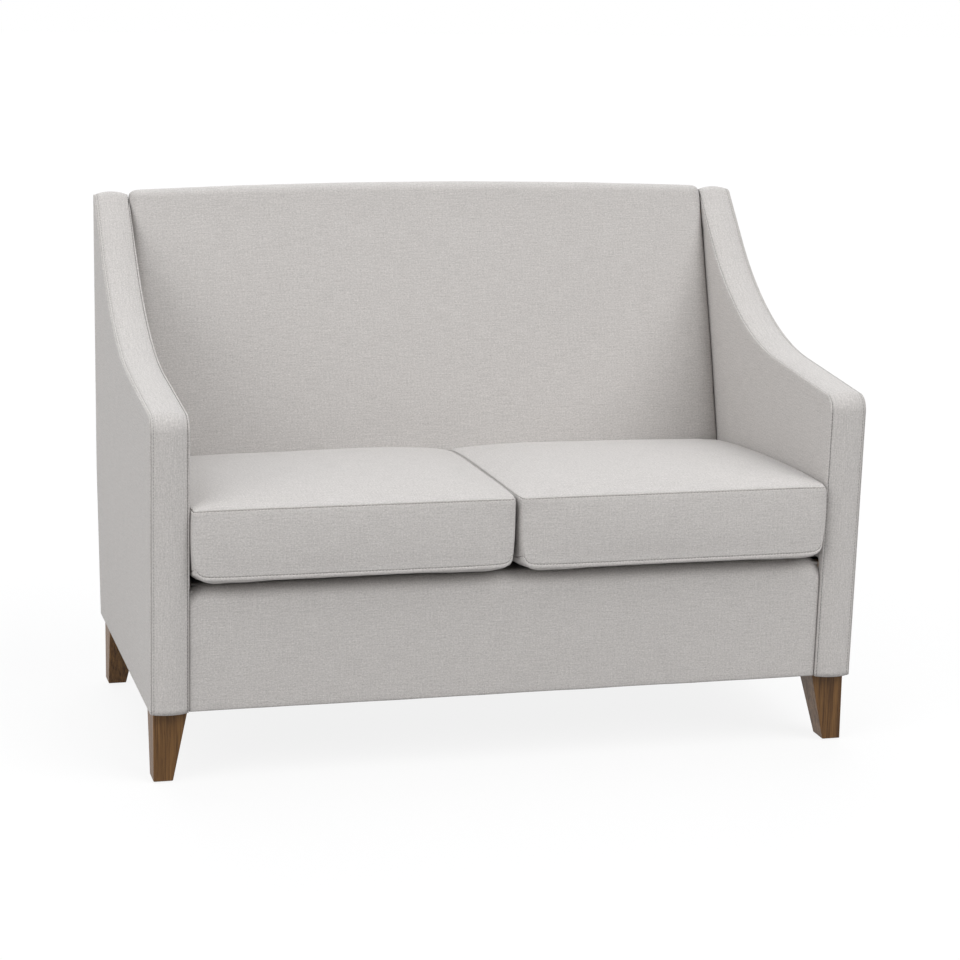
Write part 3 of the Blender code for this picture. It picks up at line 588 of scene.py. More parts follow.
def smooth_step(value, low, high):
    share = min(1.0, max(0.0, (value - low) / (high - low)))
    return share * share * (3 - 2 * share)


print("mesh helpers ready")

# %% [markdown]
# ## Stitches
# Where two panels meet, thread dips in and out of the seam. Each stitch is a tiny spindle laid in the
# groove, with its ends sunk into the cloth. A curve with an array modifier could do this too, but placing
# them by arc length keeps the spacing even round corners.

# %% Stitches
STITCH_STEP, STITCH_LENGTH, STITCH_RADIUS = 0.0058, 0.0040, 0.00045
STITCH_RINGS = ((-0.5, 0.35, -1.2), (-0.28, 0.95, 0.0), (0.28, 0.95, 0.0), (0.5, 0.35, -1.2))
STITCH_SIDES = 5


def lay_stitches(name, runs, finish):
    """Stitches along runs of (point, outward direction), gathered in one mesh."""
    bm = bmesh.new()
    uv = bm.loops.layers.uv.new(PANEL_UV)
    laid = 0
    for run in runs:
        points = [Vector(point) for point, _ in run]
        lengths = [0.0]
        for before, after in zip(points, points[1:]):
            lengths.append(lengths[-1] + (after - before).length)
        at, i = STITCH_STEP / 2, 0
        while at < lengths[-1]:
            while lengths[i + 1] < at:
                i += 1
            share = (at - lengths[i]) / max(lengths[i + 1] - lengths[i], 1e-9)
            centre = points[i].lerp(points[i + 1], share)
            along = (points[i + 1] - points[i]).normalized()
            up = Vector(run[i][1]).lerp(Vector(run[i + 1][1]), share)
            up = (up - along * up.dot(along)).normalized()
            beside = along.cross(up)
            rings = []
            for reach, size, sink in STITCH_RINGS:
                middle = centre + along * reach * STITCH_LENGTH + up * sink * STITCH_RADIUS
                ring = []
                for k in range(STITCH_SIDES):
                    angle = 2 * math.pi * k / STITCH_SIDES
                    spoke = beside * math.cos(angle) + up * math.sin(angle)
                    ring.append(bm.verts.new(middle + spoke * size * STITCH_RADIUS))
                rings.append(ring)
            for ring, after in zip(rings, rings[1:]):
                for k in range(STITCH_SIDES):
                    n = (k + 1) % STITCH_SIDES
                    bm.faces.new((ring[k], after[k], after[n], ring[n]))
            bm.faces.new(rings[0])
            bm.faces.new(rings[-1])
            at += STITCH_STEP
            laid += 1
    lay_flat(bm.faces, uv, lambda point: (point.x + point.y, point.z))
    print(name, laid, "stitches")
    return add_piece(name, bm, finish)


print("a stitch of", STITCH_LENGTH * 1000, "mm every", STITCH_STEP * 1000, "mm")

# %% [markdown]
# ## Arm pattern
# From the side the arm is one long line: up the front, round a small corner, along the rest and up the
# swoop to the top of the back. The band follows that line, and the outside and inside panels are cut to it.
# Its top end also rounds over at the back, which the solid leaves square.

# %% Arm pattern
ARM_STEP = 0.008
TOP_BACK_ROUND, TOP_FRONT_ROUND = 0.0035, 0.022
ARM_CORNERS = [
    (front_line(BASE), BASE),
    (back_line(BASE), BASE),
    (DEPTH / 2, KICK_HEIGHT),
    (DEPTH / 2, ARM_BACK),
    (ARM_FLAT_Y, ARM_BACK),
    swoop_corner(),
    (ARM_TOP_Y, ARM_FRONT),
]
ARM_ARCS = [
    None, None, None, (TOP_BACK_ROUND, 6), (TOP_FRONT_ROUND, 8), (SWOOP_RADIUS, 48), (ARM_CORNER, 16),
]
ARM_COUNTS = straight_counts(outline(ARM_CORNERS, [0] * 7, ARM_ARCS), ARM_STEP)


def arm_line(inset):
    return spread(outline(ARM_CORNERS, [inset] * 7, ARM_ARCS), ARM_COUNTS)


TIP = arm_tip()
STRIP = 0.018
strip_top = deck_line(front_line(SEAT_FRONT) + STRIP)
rear_low = deck_line(frame_line(SEAT_FRONT))
INSIDE_CORNERS = [
    (front_line(BASE), BASE),
    (front_line(BASE) + STRIP, BASE),
    (front_line(strip_top) + STRIP, strip_top),
    (frame_line(rear_low), rear_low),
    TIP,
    swoop_corner(),
    (ARM_TOP_Y, ARM_FRONT),
]
INSIDE_ARCS = [None] * 5 + ARM_ARCS[-2:]
INSIDE_EDGE = 0.0005
INSIDE_COUNTS = straight_counts(outline(INSIDE_CORNERS, [0] * 7, INSIDE_ARCS), ARM_STEP)


def inside_line(inset):
    insets = [INSIDE_EDGE] * 4 + [inset] * 3
    return spread(outline(INSIDE_CORNERS, insets, INSIDE_ARCS), INSIDE_COUNTS)


print("arm pattern:", len(arm_line(0)), "points outside,", len(inside_line(0)), "inside")

# %% [markdown]
# ## Arm panels
# The outside panel is thin wadding over the frame, and the inside one is a thicker pad. Both roll over the
# arm's edge to the seams along the band, and the inside one swells past its seam, so that a sliver of it
# shows from the front. Rings of the pattern, each a little further round the roll, make that edge, and the
# wide middle is cut into a grid so that it can bulge: most at the front, hardly at all beside the back.

# %% Arm panels
OUTSIDE_ROLL = (
    (2.6, 0, 3.2), (2.5, 0, 1.1), (2.0, 0, 0.35), (1.3, 0, 0.5), (0.65, 0, 1.1), (0.2, 0, 2.2), (0, 0, 3.4),
)
INSIDE_ROLL = (
    (1.7, 0, 3.4), (1.45, 0, 1.3), (0.9, 0, 0.35), (0.3, 0.1, 0.0), (0, 0.4, 0.45), (0, 0.68, 1.5),
    (0, 0.86, 3.2), (0, 0.96, 5.4), (0, 1, 8.0),
)
INSIDE_BULGE, STRIP_BULGE, BULGE_LEFT = 2.4, 0.8, 0.5
BULGE_FADE = (-0.010, 0.045)
PANEL_DEPTH = {"outside": 5.4, "inside": 13.0}
GRID, GRID_SPANS = 0.024, ((1, -0.4, 0.4), (2, 0.12, 0.96))


def inside_bulge(y, z):
    """Swell of the inside pad in mm: full at the front, fading out beside the back."""
    swell = INSIDE_BULGE if z > deck_line(y) else STRIP_BULGE
    room = smooth_step(inside_back(z) - y, *BULGE_FADE)
    return BULGE_LEFT + (swell - BULGE_LEFT) * room


def no_bulge(y, z):
    return 0.0


def side_panel(name, side, face_x, inwards, line, roll, thickness, bulge):
    """A closed panel seen from the side: its back, the roll round its edge and the gridded face."""
    bm = bmesh.new()
    uv = bm.loops.layers.uv.new(PANEL_UV)

    def ring(offset_mm, share, inset_mm):
        points = line(inset_mm / 1000)
        offsets = [offset_mm - share * bulge(p.x, p.y) for p in points]
        return [
            bm.verts.new((side * (face_x + inwards * offset / 1000), p.x, p.y))
            for offset, p in zip(offsets, points)
        ]

    rings = [ring(thickness, 0, roll[0][2])] + [ring(*step) for step in roll]
    for before, after in zip(rings, rings[1:]):
        for i in range(len(before)):
            bm.faces.new((before[i - 1], before[i], after[i], after[i - 1]))
    bm.faces.new(rings[0])
    made = [bm.faces.new(rings[-1])]
    edge = set(rings[-1])
    for axis, low, high in GRID_SPANS:
        for k in range(1, round((high - low) / GRID)):
            geometry = list({e for f in made for e in f.edges}) + made
            geometry += list({v for f in made for v in f.verts})
            cut = cut_across(bm, geometry, axis, low + k * GRID)
            made = [g for g in cut if isinstance(g, bmesh.types.BMFace)]
    for vert in {v for f in made for v in f.verts} - edge:
        vert.co.x = side * (face_x - inwards * bulge(vert.co.y, vert.co.z) / 1000)
    lay_flat(bm.faces, uv, lambda point: point.yz)
    return add_piece(name, bm, cover_cloth)


for label, side in SIDES.items():
    outer = side_panel(
        f"arm_{label}_outside_panel", side, WIDTH / 2, -1, arm_line, OUTSIDE_ROLL, PANEL_DEPTH["outside"],
        no_bulge,
    )
    dress(outer, [f"arm_{label}_outside"])
    inner = side_panel(
        f"arm_{label}_inside_panel", side, INNER_X, 1, inside_line, INSIDE_ROLL, PANEL_DEPTH["inside"],
        inside_bulge,
    )
    dress(inner, [f"arm_{label}_inside"])
    print(label, "arm panels:", len(outer.data.polygons), "and", len(inner.data.polygons), "faces")

# %% [markdown]
# ## Arm bands
# The band is a long strip, crowned by the wadding under it, that runs from behind the top of the arm down to
# the base. It is swept along the arm's line. Its crown fades out only where it tucks under at the back, and
# both edges dive into the seams.

# %% Arm bands
BAND_LOW, BAND_HIGH = 2.0, 63.2
BAND_SHARES = (0, 0.006, 0.02, 0.045, 0.08, 0.13, 0.2, 0.3, 0.4, 0.5)
BAND_CROWN, BAND_FULLNESS, SEAM_SINK = 6.6, 0.85, (1.3, 1.0)
TOPSTITCH, TOPSTITCH_SINK = 0.94, 0.7
UNDER_TIP, BAND_UNDER, UNDER_GROWS = 4.0, 13.0, (0.03, 0.09)
CROWN_FADE, CROWN_TIP, CROWN_GROWS = 0.014, 0.75, (0.02, 0.15)
TUCK_UNDER = 0.012


def band_path():
    """Points and outward normals along the arm, from the outside back over the top and down the front."""
    groups = outline(ARM_CORNERS, [0] * 7, ARM_ARCS)
    behind = Vector((DEPTH / 2, ARM_BACK - TOP_BACK_ROUND - TUCK_UNDER))
    chosen = [[behind]] + groups[3:] + groups[:1]
    points = spread(chosen, straight_counts(chosen, ARM_STEP), closed=False)
    path = []
    for i, point in enumerate(points):
        before, after = points[max(i - 1, 0)], points[min(i + 1, len(points) - 1)]
        along = (after - before).normalized()
        path.append((point, Vector((along.y, -along.x))))
    return path


BAND_PATH = band_path()
band_lengths = [0.0]
for (before, _), (after, _) in zip(BAND_PATH, BAND_PATH[1:]):
    band_lengths.append(band_lengths[-1] + (after - before).length)
shares = sorted(BAND_SHARES + tuple(1 - share for share in BAND_SHARES[-2::-1]) + (TOPSTITCH,))


def band_across(share):
    """How far in mm a place on the band is from the arm's inner face."""
    return BAND_LOW + share * (BAND_HIGH - BAND_LOW)


def band_depth(share, crown):
    """Depth in mm below the arm's line: sunk at the seams and the topstitching, raised in the middle."""
    sink = SEAM_SINK[0] + (SEAM_SINK[1] - SEAM_SINK[0]) * share
    depth = sink - (sink + crown) * (1 - (2 * share - 1) ** 2) ** BAND_FULLNESS
    return depth + (TOPSTITCH_SINK if share == TOPSTITCH else 0)


def band_crown(length):
    """The crown in mm, so far along the band: none where it tucks under, full from the swoop on."""
    grown = CROWN_TIP + (1 - CROWN_TIP) * smooth_step(length, *CROWN_GROWS)
    return BAND_CROWN * smooth_step(length, 0, CROWN_FADE) * grown


for label, side in SIDES.items():
    rows = []
    for (point, out), length in zip(BAND_PATH, band_lengths):
        under = UNDER_TIP + (BAND_UNDER - UNDER_TIP) * smooth_step(length, *UNDER_GROWS)
        crown = band_crown(length)
        upper = [(band_across(share), band_depth(share, crown)) for share in shares]
        section = [(BAND_LOW, under), *upper, (BAND_HIGH, under)]
        row = []
        for across_mm, depth_mm in section:
            spot = point - out * depth_mm / 1000
            row.append((side * (INNER_X + across_mm / 1000), spot.x, spot.y))
        rows.append(row)
    band = sweep(f"arm_{label}_band_strip", rows, cover_cloth)
    dress(band, [f"arm_{label}_band"])
    print(label, "band:", round(band_lengths[-1], 3), "m long")

# %% [markdown]
# ## Arm seams
# One row of stitches lies in the groove of each band's inner seam, and a row of topstitching runs near the
# band's outer edge. Both begin a little way along, where the band has come out from behind the back.

# %% Arm seams
SEAM_ACROSS, SEAM_DEPTH = BAND_LOW - 0.3, 0.7
TUCKED = 6


def seam_depth(length):
    return SEAM_DEPTH


def topstitch_depth(length):
    return band_depth(TOPSTITCH, band_crown(length)) - TOPSTITCH_SINK / 2


def stitch_run(side, across_mm, depth_mm):
    """Points with outward directions along a band; depth_mm(length) is how deep they lie."""
    x = side * (INNER_X + across_mm / 1000)
    run = []
    for (point, out), length in list(zip(BAND_PATH, band_lengths))[TUCKED:]:
        spot = point - out * depth_mm(length) / 1000
        run.append(((x, spot.x, spot.y), (0, out.x, out.y)))
    return run


ROWS = ((SEAM_ACROSS, seam_depth), (band_across(TOPSTITCH), topstitch_depth))
for label, side in SIDES.items():
    runs = [stitch_run(side, *row) for row in ROWS]
    dress(lay_stitches(f"arm_{label}_seam_stitches", runs, shade_darkened_thread))

# %% [markdown]
# ## Back
# The tight back is foam pulled over the top rail: reclined, crowned, rolled at the top and tucked in at both
# ends. Inflating it would lose the straight pull of the cloth, so its section is drawn and swept across,
# with the ends turned in by a quarter circle.

# %% Back
BACK_STEP, BACK_SECTION_STEP = 0.014, 0.010
BACK_END = {"top": (0.018, 0.018), "seat": (0.058, 0.024)}
TOP_DROP = 0.6
BACK_CROWN, BACK_TOP_CROWN = 0.010, 0.012
BACK_FULLNESS, FULL_FROM, FULL_HEIGHT = 0.004, 0.46, 0.44
BACK_CLEAR, POST_CLEAR = 0.001, 0.0026
BACK_ROUNDS = {"behind": 0.36, "front": 0.58}
FACE_FADE = (0.015, 0.040)
PANEL_THICK = 0.006
STEP_DROP, LAP_DROP = 0.0215, 0.014
BACK_HALF = INNER_X - BACK_CLEAR
BACK_BEHIND = DEPTH / 2 - PANEL_THICK - GAP
STEP_TOP = TIP[1] - STEP_DROP
LAP = ARM_BACK - LAP_DROP - 2 * GAP
END_TURNS = (5, 10, 16, 23, 30, 37, 44, 50, 56, 62, 68, 74, 79, 83, 86, 88)


def end_tuck(x, z):
    """How far the ends turn in at height z: the foam is thickest at the seat, and so is its round."""
    share = max(0.0, min(1.0, (z - SEAT_HEIGHT) / (BACK_TOP - SEAT_HEIGHT))) ** 0.5
    reach, depth = (low + (high - low) * share for low, high in zip(BACK_END["seat"], BACK_END["top"]))
    into_end = max(0.0, (abs(x) - BACK_HALF + reach) / reach)
    return depth * (1 - math.sqrt(1 - min(into_end, 1.0) ** 2))


def mirrored(places):
    """Places from 0 outwards, with their mirror images put before them."""
    return [-x for x in places[:0:-1]] + places


def back_section(x):
    bow = (x / BACK_HALF) ** 2
    top = BACK_TOP - BACK_TOP_CROWN * bow - TOP_DROP * end_tuck(x, BACK_TOP)
    recess = BACK_CROWN * bow
    low = deck_line(inside_back(SEAT_FRONT)) + BACK_CLEAR

    def face(z):
        return inside_back(z) + recess

    def rear(z):
        return frame_line(z) - POST_CLEAR

    width = DEPTH / 2 - face(top)
    corners = [
        (face(low), low), (rear(low), low), (rear(STEP_TOP), STEP_TOP), (BACK_BEHIND, STEP_TOP),
        (BACK_BEHIND, LAP), (DEPTH / 2, LAP), (DEPTH / 2, top), (face(top), top),
    ]
    arcs = [None] * 6 + [(BACK_ROUNDS["behind"] * width, 8), (BACK_ROUNDS["front"] * width, 14)]
    return outline(corners, [0] * 8, arcs)


counts = straight_counts(back_section(0), BACK_SECTION_STEP)
end_reach = BACK_END["seat"][0]
inner = BACK_HALF - end_reach
stations = list(np.linspace(0, inner, round(inner / BACK_STEP) + 1))
stations += [inner + end_reach * math.sin(math.radians(turn)) for turn in END_TURNS]
stations = mirrored(stations)
rows = []
for x in stations:
    row = []
    for point in spread(back_section(x), counts):
        full = BACK_FULLNESS * math.sin(math.pi * min(1, max(0, (point.y - FULL_FROM) / FULL_HEIGHT)))
        on_face = 1 - smooth_step(point.x - inside_back(point.y), *FACE_FADE)
        row.append((x, point.x + (end_tuck(x, point.y) - full) * on_face, point.y))
    rows.append(row)
back = sweep("back_cover", rows, cover_cloth, along=np.array(stations))
ruffle(back, depth=0.0007, size=0.09, seed=3.0)
dress(back, ["back_pad"])
print("back:", len(stations), "sections of", len(rows[0]), "points")

# %% [markdown]
# ## Outside back
# A flat panel closes the back. Its lower part leans in towards the base, and its edges are turned under and
# slip-stitched, so they are rounded. A bevelled board would do, but a swept section lets the ends round too.

# %% Outside back
PANEL_ROUND, PANEL_STEP, PANEL_STATIONS = 0.0028, 0.014, 90
PANEL_TURNS = (25, 50, 70, 85)
PANEL_HALF = WIDTH / 2 - PANEL_THICK - GAP
low, high = BASE, LAP - 2 * GAP


def outside_section(inset):
    corners = [
        (back_line(low) - PANEL_THICK, low), (back_line(low), low), (DEPTH / 2, KICK_HEIGHT),
        (DEPTH / 2, high), (DEPTH / 2 - PANEL_THICK, high), (DEPTH / 2 - PANEL_THICK, KICK_HEIGHT),
    ]
    arcs = [None, (PANEL_ROUND, 5), None, (PANEL_ROUND, 5), None, None]
    return outline(corners, [inset] * 4 + [0, 0], arcs)


counts = straight_counts(outside_section(0), PANEL_STEP)
stations = list(np.linspace(-PANEL_HALF + PANEL_ROUND, PANEL_HALF - PANEL_ROUND, PANEL_STATIONS))
insets = [0.0] * len(stations)
for turn in PANEL_TURNS:
    out_x = PANEL_HALF - PANEL_ROUND + PANEL_ROUND * math.sin(math.radians(turn))
    drop = PANEL_ROUND * (1 - math.cos(math.radians(turn)))
    stations = [-out_x] + stations + [out_x]
    insets = [drop] + insets + [drop]
rows = [
    [(x, point.x, point.y) for point in spread(outside_section(inset), counts)]
    for x, inset in zip(stations, insets)
]
outside = sweep("outside_back_panel", rows, cover_cloth, along=np.array(stations))
ruffle(outside, depth=0.0005, size=0.11, seed=8.0)
dress(outside, ["outside_back"])
print("outside back:", round(2 * PANEL_HALF, 3), "m wide")

# %% [markdown]
# ## Base panel
# Under the cushions a padded panel covers the front rail and rolls over its top edge. Near the arms its
# upper corners fall away, because the cloth is pulled down and back into the corner there.

# %% Base panel
BASE_RECESS, BASE_PAD, BASE_ROUND = 0.005, 0.016, 0.030
BASE_HALF = INNER_X - STRIP_BULGE / 1000 - 0.0004
BASE_WRAP, BASE_TILT = 0.020, 0.0006
BASE_TOP, RAIL_TOP = 0.3480, 0.3402
CORNER_REACH, CORNER_ROUND, CORNER_FALL, CORNER_BEND = 0.030, 0.004, 0.0069, 2.2
BASE_END, BASE_LOW_ROUND = 0.004, 0.004
BASE_STEP, BASE_TURNS = 0.009, (20, 40, 60, 75, 86)


def base_section(x):
    into = max(0.0, (abs(x) - BASE_HALF + CORNER_REACH) / CORNER_REACH) ** CORNER_BEND
    end = max(0.0, (abs(x) - BASE_HALF + BASE_END) / BASE_END)
    turned = BASE_END * (1 - math.sqrt(max(0.0, 1 - min(end, 1) ** 2)))
    rail_y = front_line(SEAT_FRONT) + BASE_RECESS + BASE_PAD
    corners = [
        (front_line(BASE) + BASE_RECESS + turned, BASE),
        (front_line(BASE) + BASE_RECESS + BASE_PAD, BASE),
        (rail_y, RAIL_TOP),
        (rail_y + BASE_WRAP, RAIL_TOP),
        (rail_y + BASE_WRAP, BASE_TOP - CORNER_FALL * into - BASE_TILT),
        (front_line(SEAT_FRONT) + BASE_RECESS + turned, BASE_TOP - CORNER_FALL * into),
    ]
    roll = (BASE_ROUND + CORNER_ROUND * into - turned, 10)
    return outline(corners, [0] * 6, [(BASE_LOW_ROUND, 4)] + [None] * 4 + [roll])


counts = straight_counts(base_section(0), BASE_STEP)
inner = BASE_HALF - CORNER_REACH
stations = list(np.linspace(0, inner, 50)) + list(np.linspace(inner, BASE_HALF - BASE_END, 9)[1:])
stations += [BASE_HALF - BASE_END + BASE_END * math.sin(math.radians(turn)) for turn in BASE_TURNS]
stations = mirrored(stations)
rows = [[(x, point.x, point.y) for point in spread(base_section(x), counts)] for x in stations]
base = sweep("base_front_panel", rows, cover_cloth, along=np.array(stations))
ruffle(base, depth=0.0006, size=0.07, seed=5.0)
dress(base, ["base_pad"])
print("base panel:", len(stations), "sections")

# %% [markdown]
# ## Seat cushions
# Each cushion is a foam block in a sewn box: a top, a bottom and a boxing strip round the sides. A rough
# cage gives the form, subdivision rounds it, and then Blender's Cloth blows it up while the seams are held,
# so that panels swell between them as real covers do. Its points may move only a little, and where a
# neighbour is in the way the cloth stops and goes flat.

# %% Cushion cage
CUSHION_FRONT = -DEPTH / 2
CUSHION_THICK = 0.1345
CUSHION_GAP, CUSHION_CLEAR, REAR_CLEAR = 0.0009, 0.0022, 0.0015
CUSHION_HALF = (INNER_X - CUSHION_CLEAR - CUSHION_GAP / 2) / 2
ARM_CROWN, DIVIDE_CROWN, TOP_CROWN, SHOULDER = 0.0095, 0.0200, 0.0040, 0.010
SHOULDER_REACH = {"arm": 0.013, "divide": 0.030, "front": 0.014}
DIVIDE_RISE, DIVIDE_TURN = {-1: 0.0160, 1: 0.0176}, 0.56
SEAM_LIFT = 0.0075
LOW_SEAM = 2 * SEAM_LIFT / CUSHION_THICK - 1
LEVEL_CUTS = (-0.96, -0.9, -0.72, -0.36, 0.0, 0.36, 0.72, 0.9, 0.96)
CAGE_CUTS = (LEVEL_CUTS, LEVEL_CUTS, (LOW_SEAM, -0.45, 0.1, 0.6, 0.87))
CAGE_LEVELS = 3
SIDE_DRAW = 0.0005
FRONT_FULL, FRONT_SEAM = 0.0012, 0.0015
LOW_RISE, LOW_LIFT, LOW_SPREAD = 0.022, {-1: 0.0106, 1: 0.0068}, 8
CORNER_IN, CORNER_DROP, LOW_IN = 0.006, 0.0015, 0.004
CORNER_SHARP, SIDE_SHARP, END_SHARP = 16, 40, 14
SIDE_SHARE, ARM_SHARE = 0.6, 0.4
SEAM_CREASE = 0.5
FRONT_LIFT = 0.0027
ARM_CLEAR = 0.0005
CUSHION_END = INNER_X - INSIDE_BULGE / 1000 - ARM_CLEAR
ON_EDGE = 0.99


def shoulder(share, reach):
    """0 on a seam, nearly 1 a few reaches away from it."""
    return 1 - math.exp(-(1 - abs(share)) * CUSHION_HALF / reach)


def top_lift(u, v, inner, rise):
    """Height of the top over the deck: the seams' own lines, and between them a fuller crown."""
    ahead = FRONT_LIFT * (1 - v) / 2
    beside_arm = ahead + ARM_CROWN * (1 - v * v)
    turn = max(0.0, (v - DIVIDE_TURN) / (1 - DIVIDE_TURN))
    climb = (min(v, DIVIDE_TURN) + 1) / (1 + DIVIDE_TURN)
    at_divide = (FRONT_LIFT + (rise - FRONT_LIFT) * climb) * (1 - turn * turn)
    seam = beside_arm + (at_divide - beside_arm) * inner
    full = 1 - (v * v if v < 0 else v ** 4)
    crown = ARM_CROWN + (DIVIDE_CROWN - ARM_CROWN) * inner + TOP_CROWN * (1 - u * u)
    body = ahead + crown * full + SHOULDER
    reach = SHOULDER_REACH["divide" if inner > 0.5 else "arm"]
    inside = shoulder(u, reach) * shoulder(v, SHOULDER_REACH["front"])
    return seam + (body - seam) * inside


def cushion_shape(u, v, w, centre):
    """Place of a cage point: crowned above, corners rounded, lower side edges drawn in and raised."""
    lift = CUSHION_THICK * (w + 1) / 2
    rear = inside_back(deck_line(SEAT_REAR_Y) + lift) - REAR_CLEAR
    side = 1 if centre > 0 else -1
    inner = (1 - u * side) / 2
    under = max(0.0, -w)
    low_corner = under * abs(u) ** SIDE_SHARP * (SIDE_SHARE + (1 - SIDE_SHARE) * abs(v) ** END_SHARP)
    corner = abs(u * v) ** CORNER_SHARP
    drawn = CORNER_IN * (ARM_SHARE + (1 - ARM_SHARE) * inner) * corner
    y = CUSHION_FRONT + (rear - CUSHION_FRONT) * (v + 1) / 2
    z = deck_line(y) + GAP + lift
    x = centre + u * (CUSHION_HALF - SIDE_DRAW * (1 - v * v) - drawn - LOW_IN * low_corner)
    y -= v * drawn
    z += under * LOW_LIFT[side] * abs(v) ** LOW_SPREAD + LOW_RISE * low_corner
    if v < -ON_EDGE:
        y -= FRONT_SEAM if w > ON_EDGE else FRONT_FULL * (1 - u * u) * (1 - w * w)
    if w > ON_EDGE:
        z -= CORNER_DROP * corner
        z += top_lift(u, v, inner, DIVIDE_RISE[side])
    return Vector((x, y, z))


def subdivided(piece, levels):
    """The piece's mesh after so many levels of subdivision."""
    rounding = piece.modifiers.new("rounding", "SUBSURF")
    rounding.levels = rounding.render_levels = levels
    graph = bpy.context.evaluated_depsgraph_get()
    mesh = bpy.data.meshes.new_from_object(piece.evaluated_get(graph), depsgraph=graph)
    piece.modifiers.clear()
    return mesh


def cushion_cage(name, side):
    centre = side * (CUSHION_GAP / 2 + CUSHION_HALF)
    bm = bmesh.new()
    bmesh.ops.create_cube(bm, size=2)
    for axis, places in enumerate(CAGE_CUTS):
        for place in places:
            cut_across(bm, bm.verts[:] + bm.edges[:] + bm.faces[:], axis, place)
    uv = bm.loops.layers.uv.new(PANEL_UV)
    crease = bm.edges.layers.float.new("crease_edge")
    seam = bm.verts.layers.deform.new()
    ring = [v for v in bm.verts if max(abs(v.co.x), abs(v.co.y)) > 0.999]
    for vert in ring:
        if vert.co.z > 0.999 or abs(vert.co.z - LOW_SEAM) < 0.001:
            vert[seam][0] = 1.0
    upper = {v for v in ring if v.co.z > 0.999}
    for edge in bm.edges:
        if edge.verts[0] in upper and edge.verts[1] in upper:
            edge[crease] = SEAM_CREASE
    facing = {face: max(range(3), key=lambda axis: abs(face.normal[axis])) for face in bm.faces}
    for vert in bm.verts:
        vert.co = cushion_shape(*vert.co, centre)
    for face, axis in facing.items():
        for loop in face.loops:
            x, y, z = loop.vert.co
            loop[uv].uv = ((y, z), (x, z), (x, y))[axis]
    piece = add_piece(name, bm, cover_cloth)
    piece.vertex_groups.new(name="seam")
    piece.data = subdivided(piece, CAGE_LEVELS)
    return piece


cushions = {label: cushion_cage(f"seat_cushion_{label}_cover", side) for label, side in SIDES.items()}
for label, piece in cushions.items():
    print(label, "cushion:", len(piece.data.polygons), "faces before swelling")

# %% [markdown]
# Swelling: gravity is off, the inside pressure is gentle and the held seams keep the box square. The cap on
# each point's travel keeps the result close to the drawn form, and the same on every run.

# %% Cushion swelling
CUSHION_CLOTH = {
    "quality": 6,
    "mass": 0.3,
    "tension_stiffness": 20,
    "compression_stiffness": 20,
    "shear_stiffness": 8,
    "bending_stiffness": 4,
    "use_pressure": True,
    "uniform_pressure_force": 4.0,
    "vertex_group_mass": "seam",
}
SWELL_FRAMES = 20
TRAVEL = 0.004
PAD_CLEAR, PAD_SHARE = 0.0012, 0.3


def swell(piece):
    cloth = piece.modifiers.new("swelling", "CLOTH")
    for key, value in CUSHION_CLOTH.items():
        setattr(cloth.settings, key, value)
    cloth.settings.effector_weights.gravity = 0
    cloth.point_cache.frame_start = 1
    cloth.point_cache.frame_end = SWELL_FRAMES
    for step in range(1, SWELL_FRAMES + 1):
        bpy.context.scene.frame_set(step)
    graph = bpy.context.evaluated_depsgraph_get()
    swollen = [v.co.copy() for v in piece.evaluated_get(graph).data.vertices]
    piece.modifiers.clear()
    bpy.context.scene.frame_set(1)
    furthest = 0.0
    for vert, target in zip(piece.data.vertices, swollen):
        move = target - vert.co
        if move.length > 0:
            furthest = max(furthest, move.length)
            vert.co += move.normalized() * TRAVEL * math.tanh(move.length / TRAVEL)
    piece.data.update()
    return furthest


def keep_clear(piece, side):
    """Flattens the cushion where it meets the arm, the other cushion, the back and the deck."""
    for vert in piece.data.vertices:
        reach = min(max(vert.co.x * side, CUSHION_GAP / 2), CUSHION_END)
        vert.co.x = side * reach
        vert.co.y = min(vert.co.y, inside_back(vert.co.z) - PAD_CLEAR - BACK_FULLNESS * PAD_SHARE)
        vert.co.z = max(vert.co.z, deck_line(vert.co.y) + GAP)
    piece.data.update()


for label, side in SIDES.items():
    print(label, "cushion: cloth wanted to move", round(swell(cushions[label]) * 1000, 1), "mm")
    keep_clear(cushions[label], side)

# %% [markdown]
# Cushion seams: after one more subdivision the cloth near the seams is drawn in and puckered. Then the seam
# edges are bevelled and the middle of each bevel is pushed in, which leaves a fine groove. The cloth is
# drawn and pushed in along the seam's own outward direction, because moving each point along its own normal
# would fold the mesh there. The stitches are laid in the groove.

# %% Cushion seams
GROOVE_HALF, GROOVE_REACH = 0.0020, 0.0016
GROOVE_DEPTH = {"front": 0.0024, "side": 0.0012, "low": 0.0012}
PUCKER, PUCKER_SIZE, PUCKER_REACH = 0.0004, 0.016, 0.02
PINCH, PINCH_REACH = {"front": 0.0020, "side": 0.0004, "low": 0.0003}, 0.009
UNDULATION, UNDULATION_SIZE, UNDULATION_REACH = 0.0012, 0.13, 0.05
THREAD_PROUD = 0.0003
FRONT_ZONE = 0.02


def seam_edges(bm):
    layer = bm.verts.layers.deform.active
    held = {v for v in bm.verts if v[layer].get(0, 0) > 0.999}
    return [e for e in bm.edges if e.verts[0] in held and e.verts[1] in held]


def ordered_loops(edges):
    """The seam edges as closed runs of points with outward directions."""
    linked = {}
    for edge in edges:
        for vert in edge.verts:
            linked.setdefault(vert, []).append(edge.other_vert(vert))
    loops, seen = [], set()
    for start in linked:
        if start in seen:
            continue
        run, here, before = [], start, None
        while here not in seen:
            seen.add(here)
            run.append((here.co.copy(), here.normal.copy()))
            following = [v for v in linked[here] if v is not before and v not in seen]
            if not following:
                break
            before, here = here, following[0]
        loops.append(run + run[:1])
    return loops


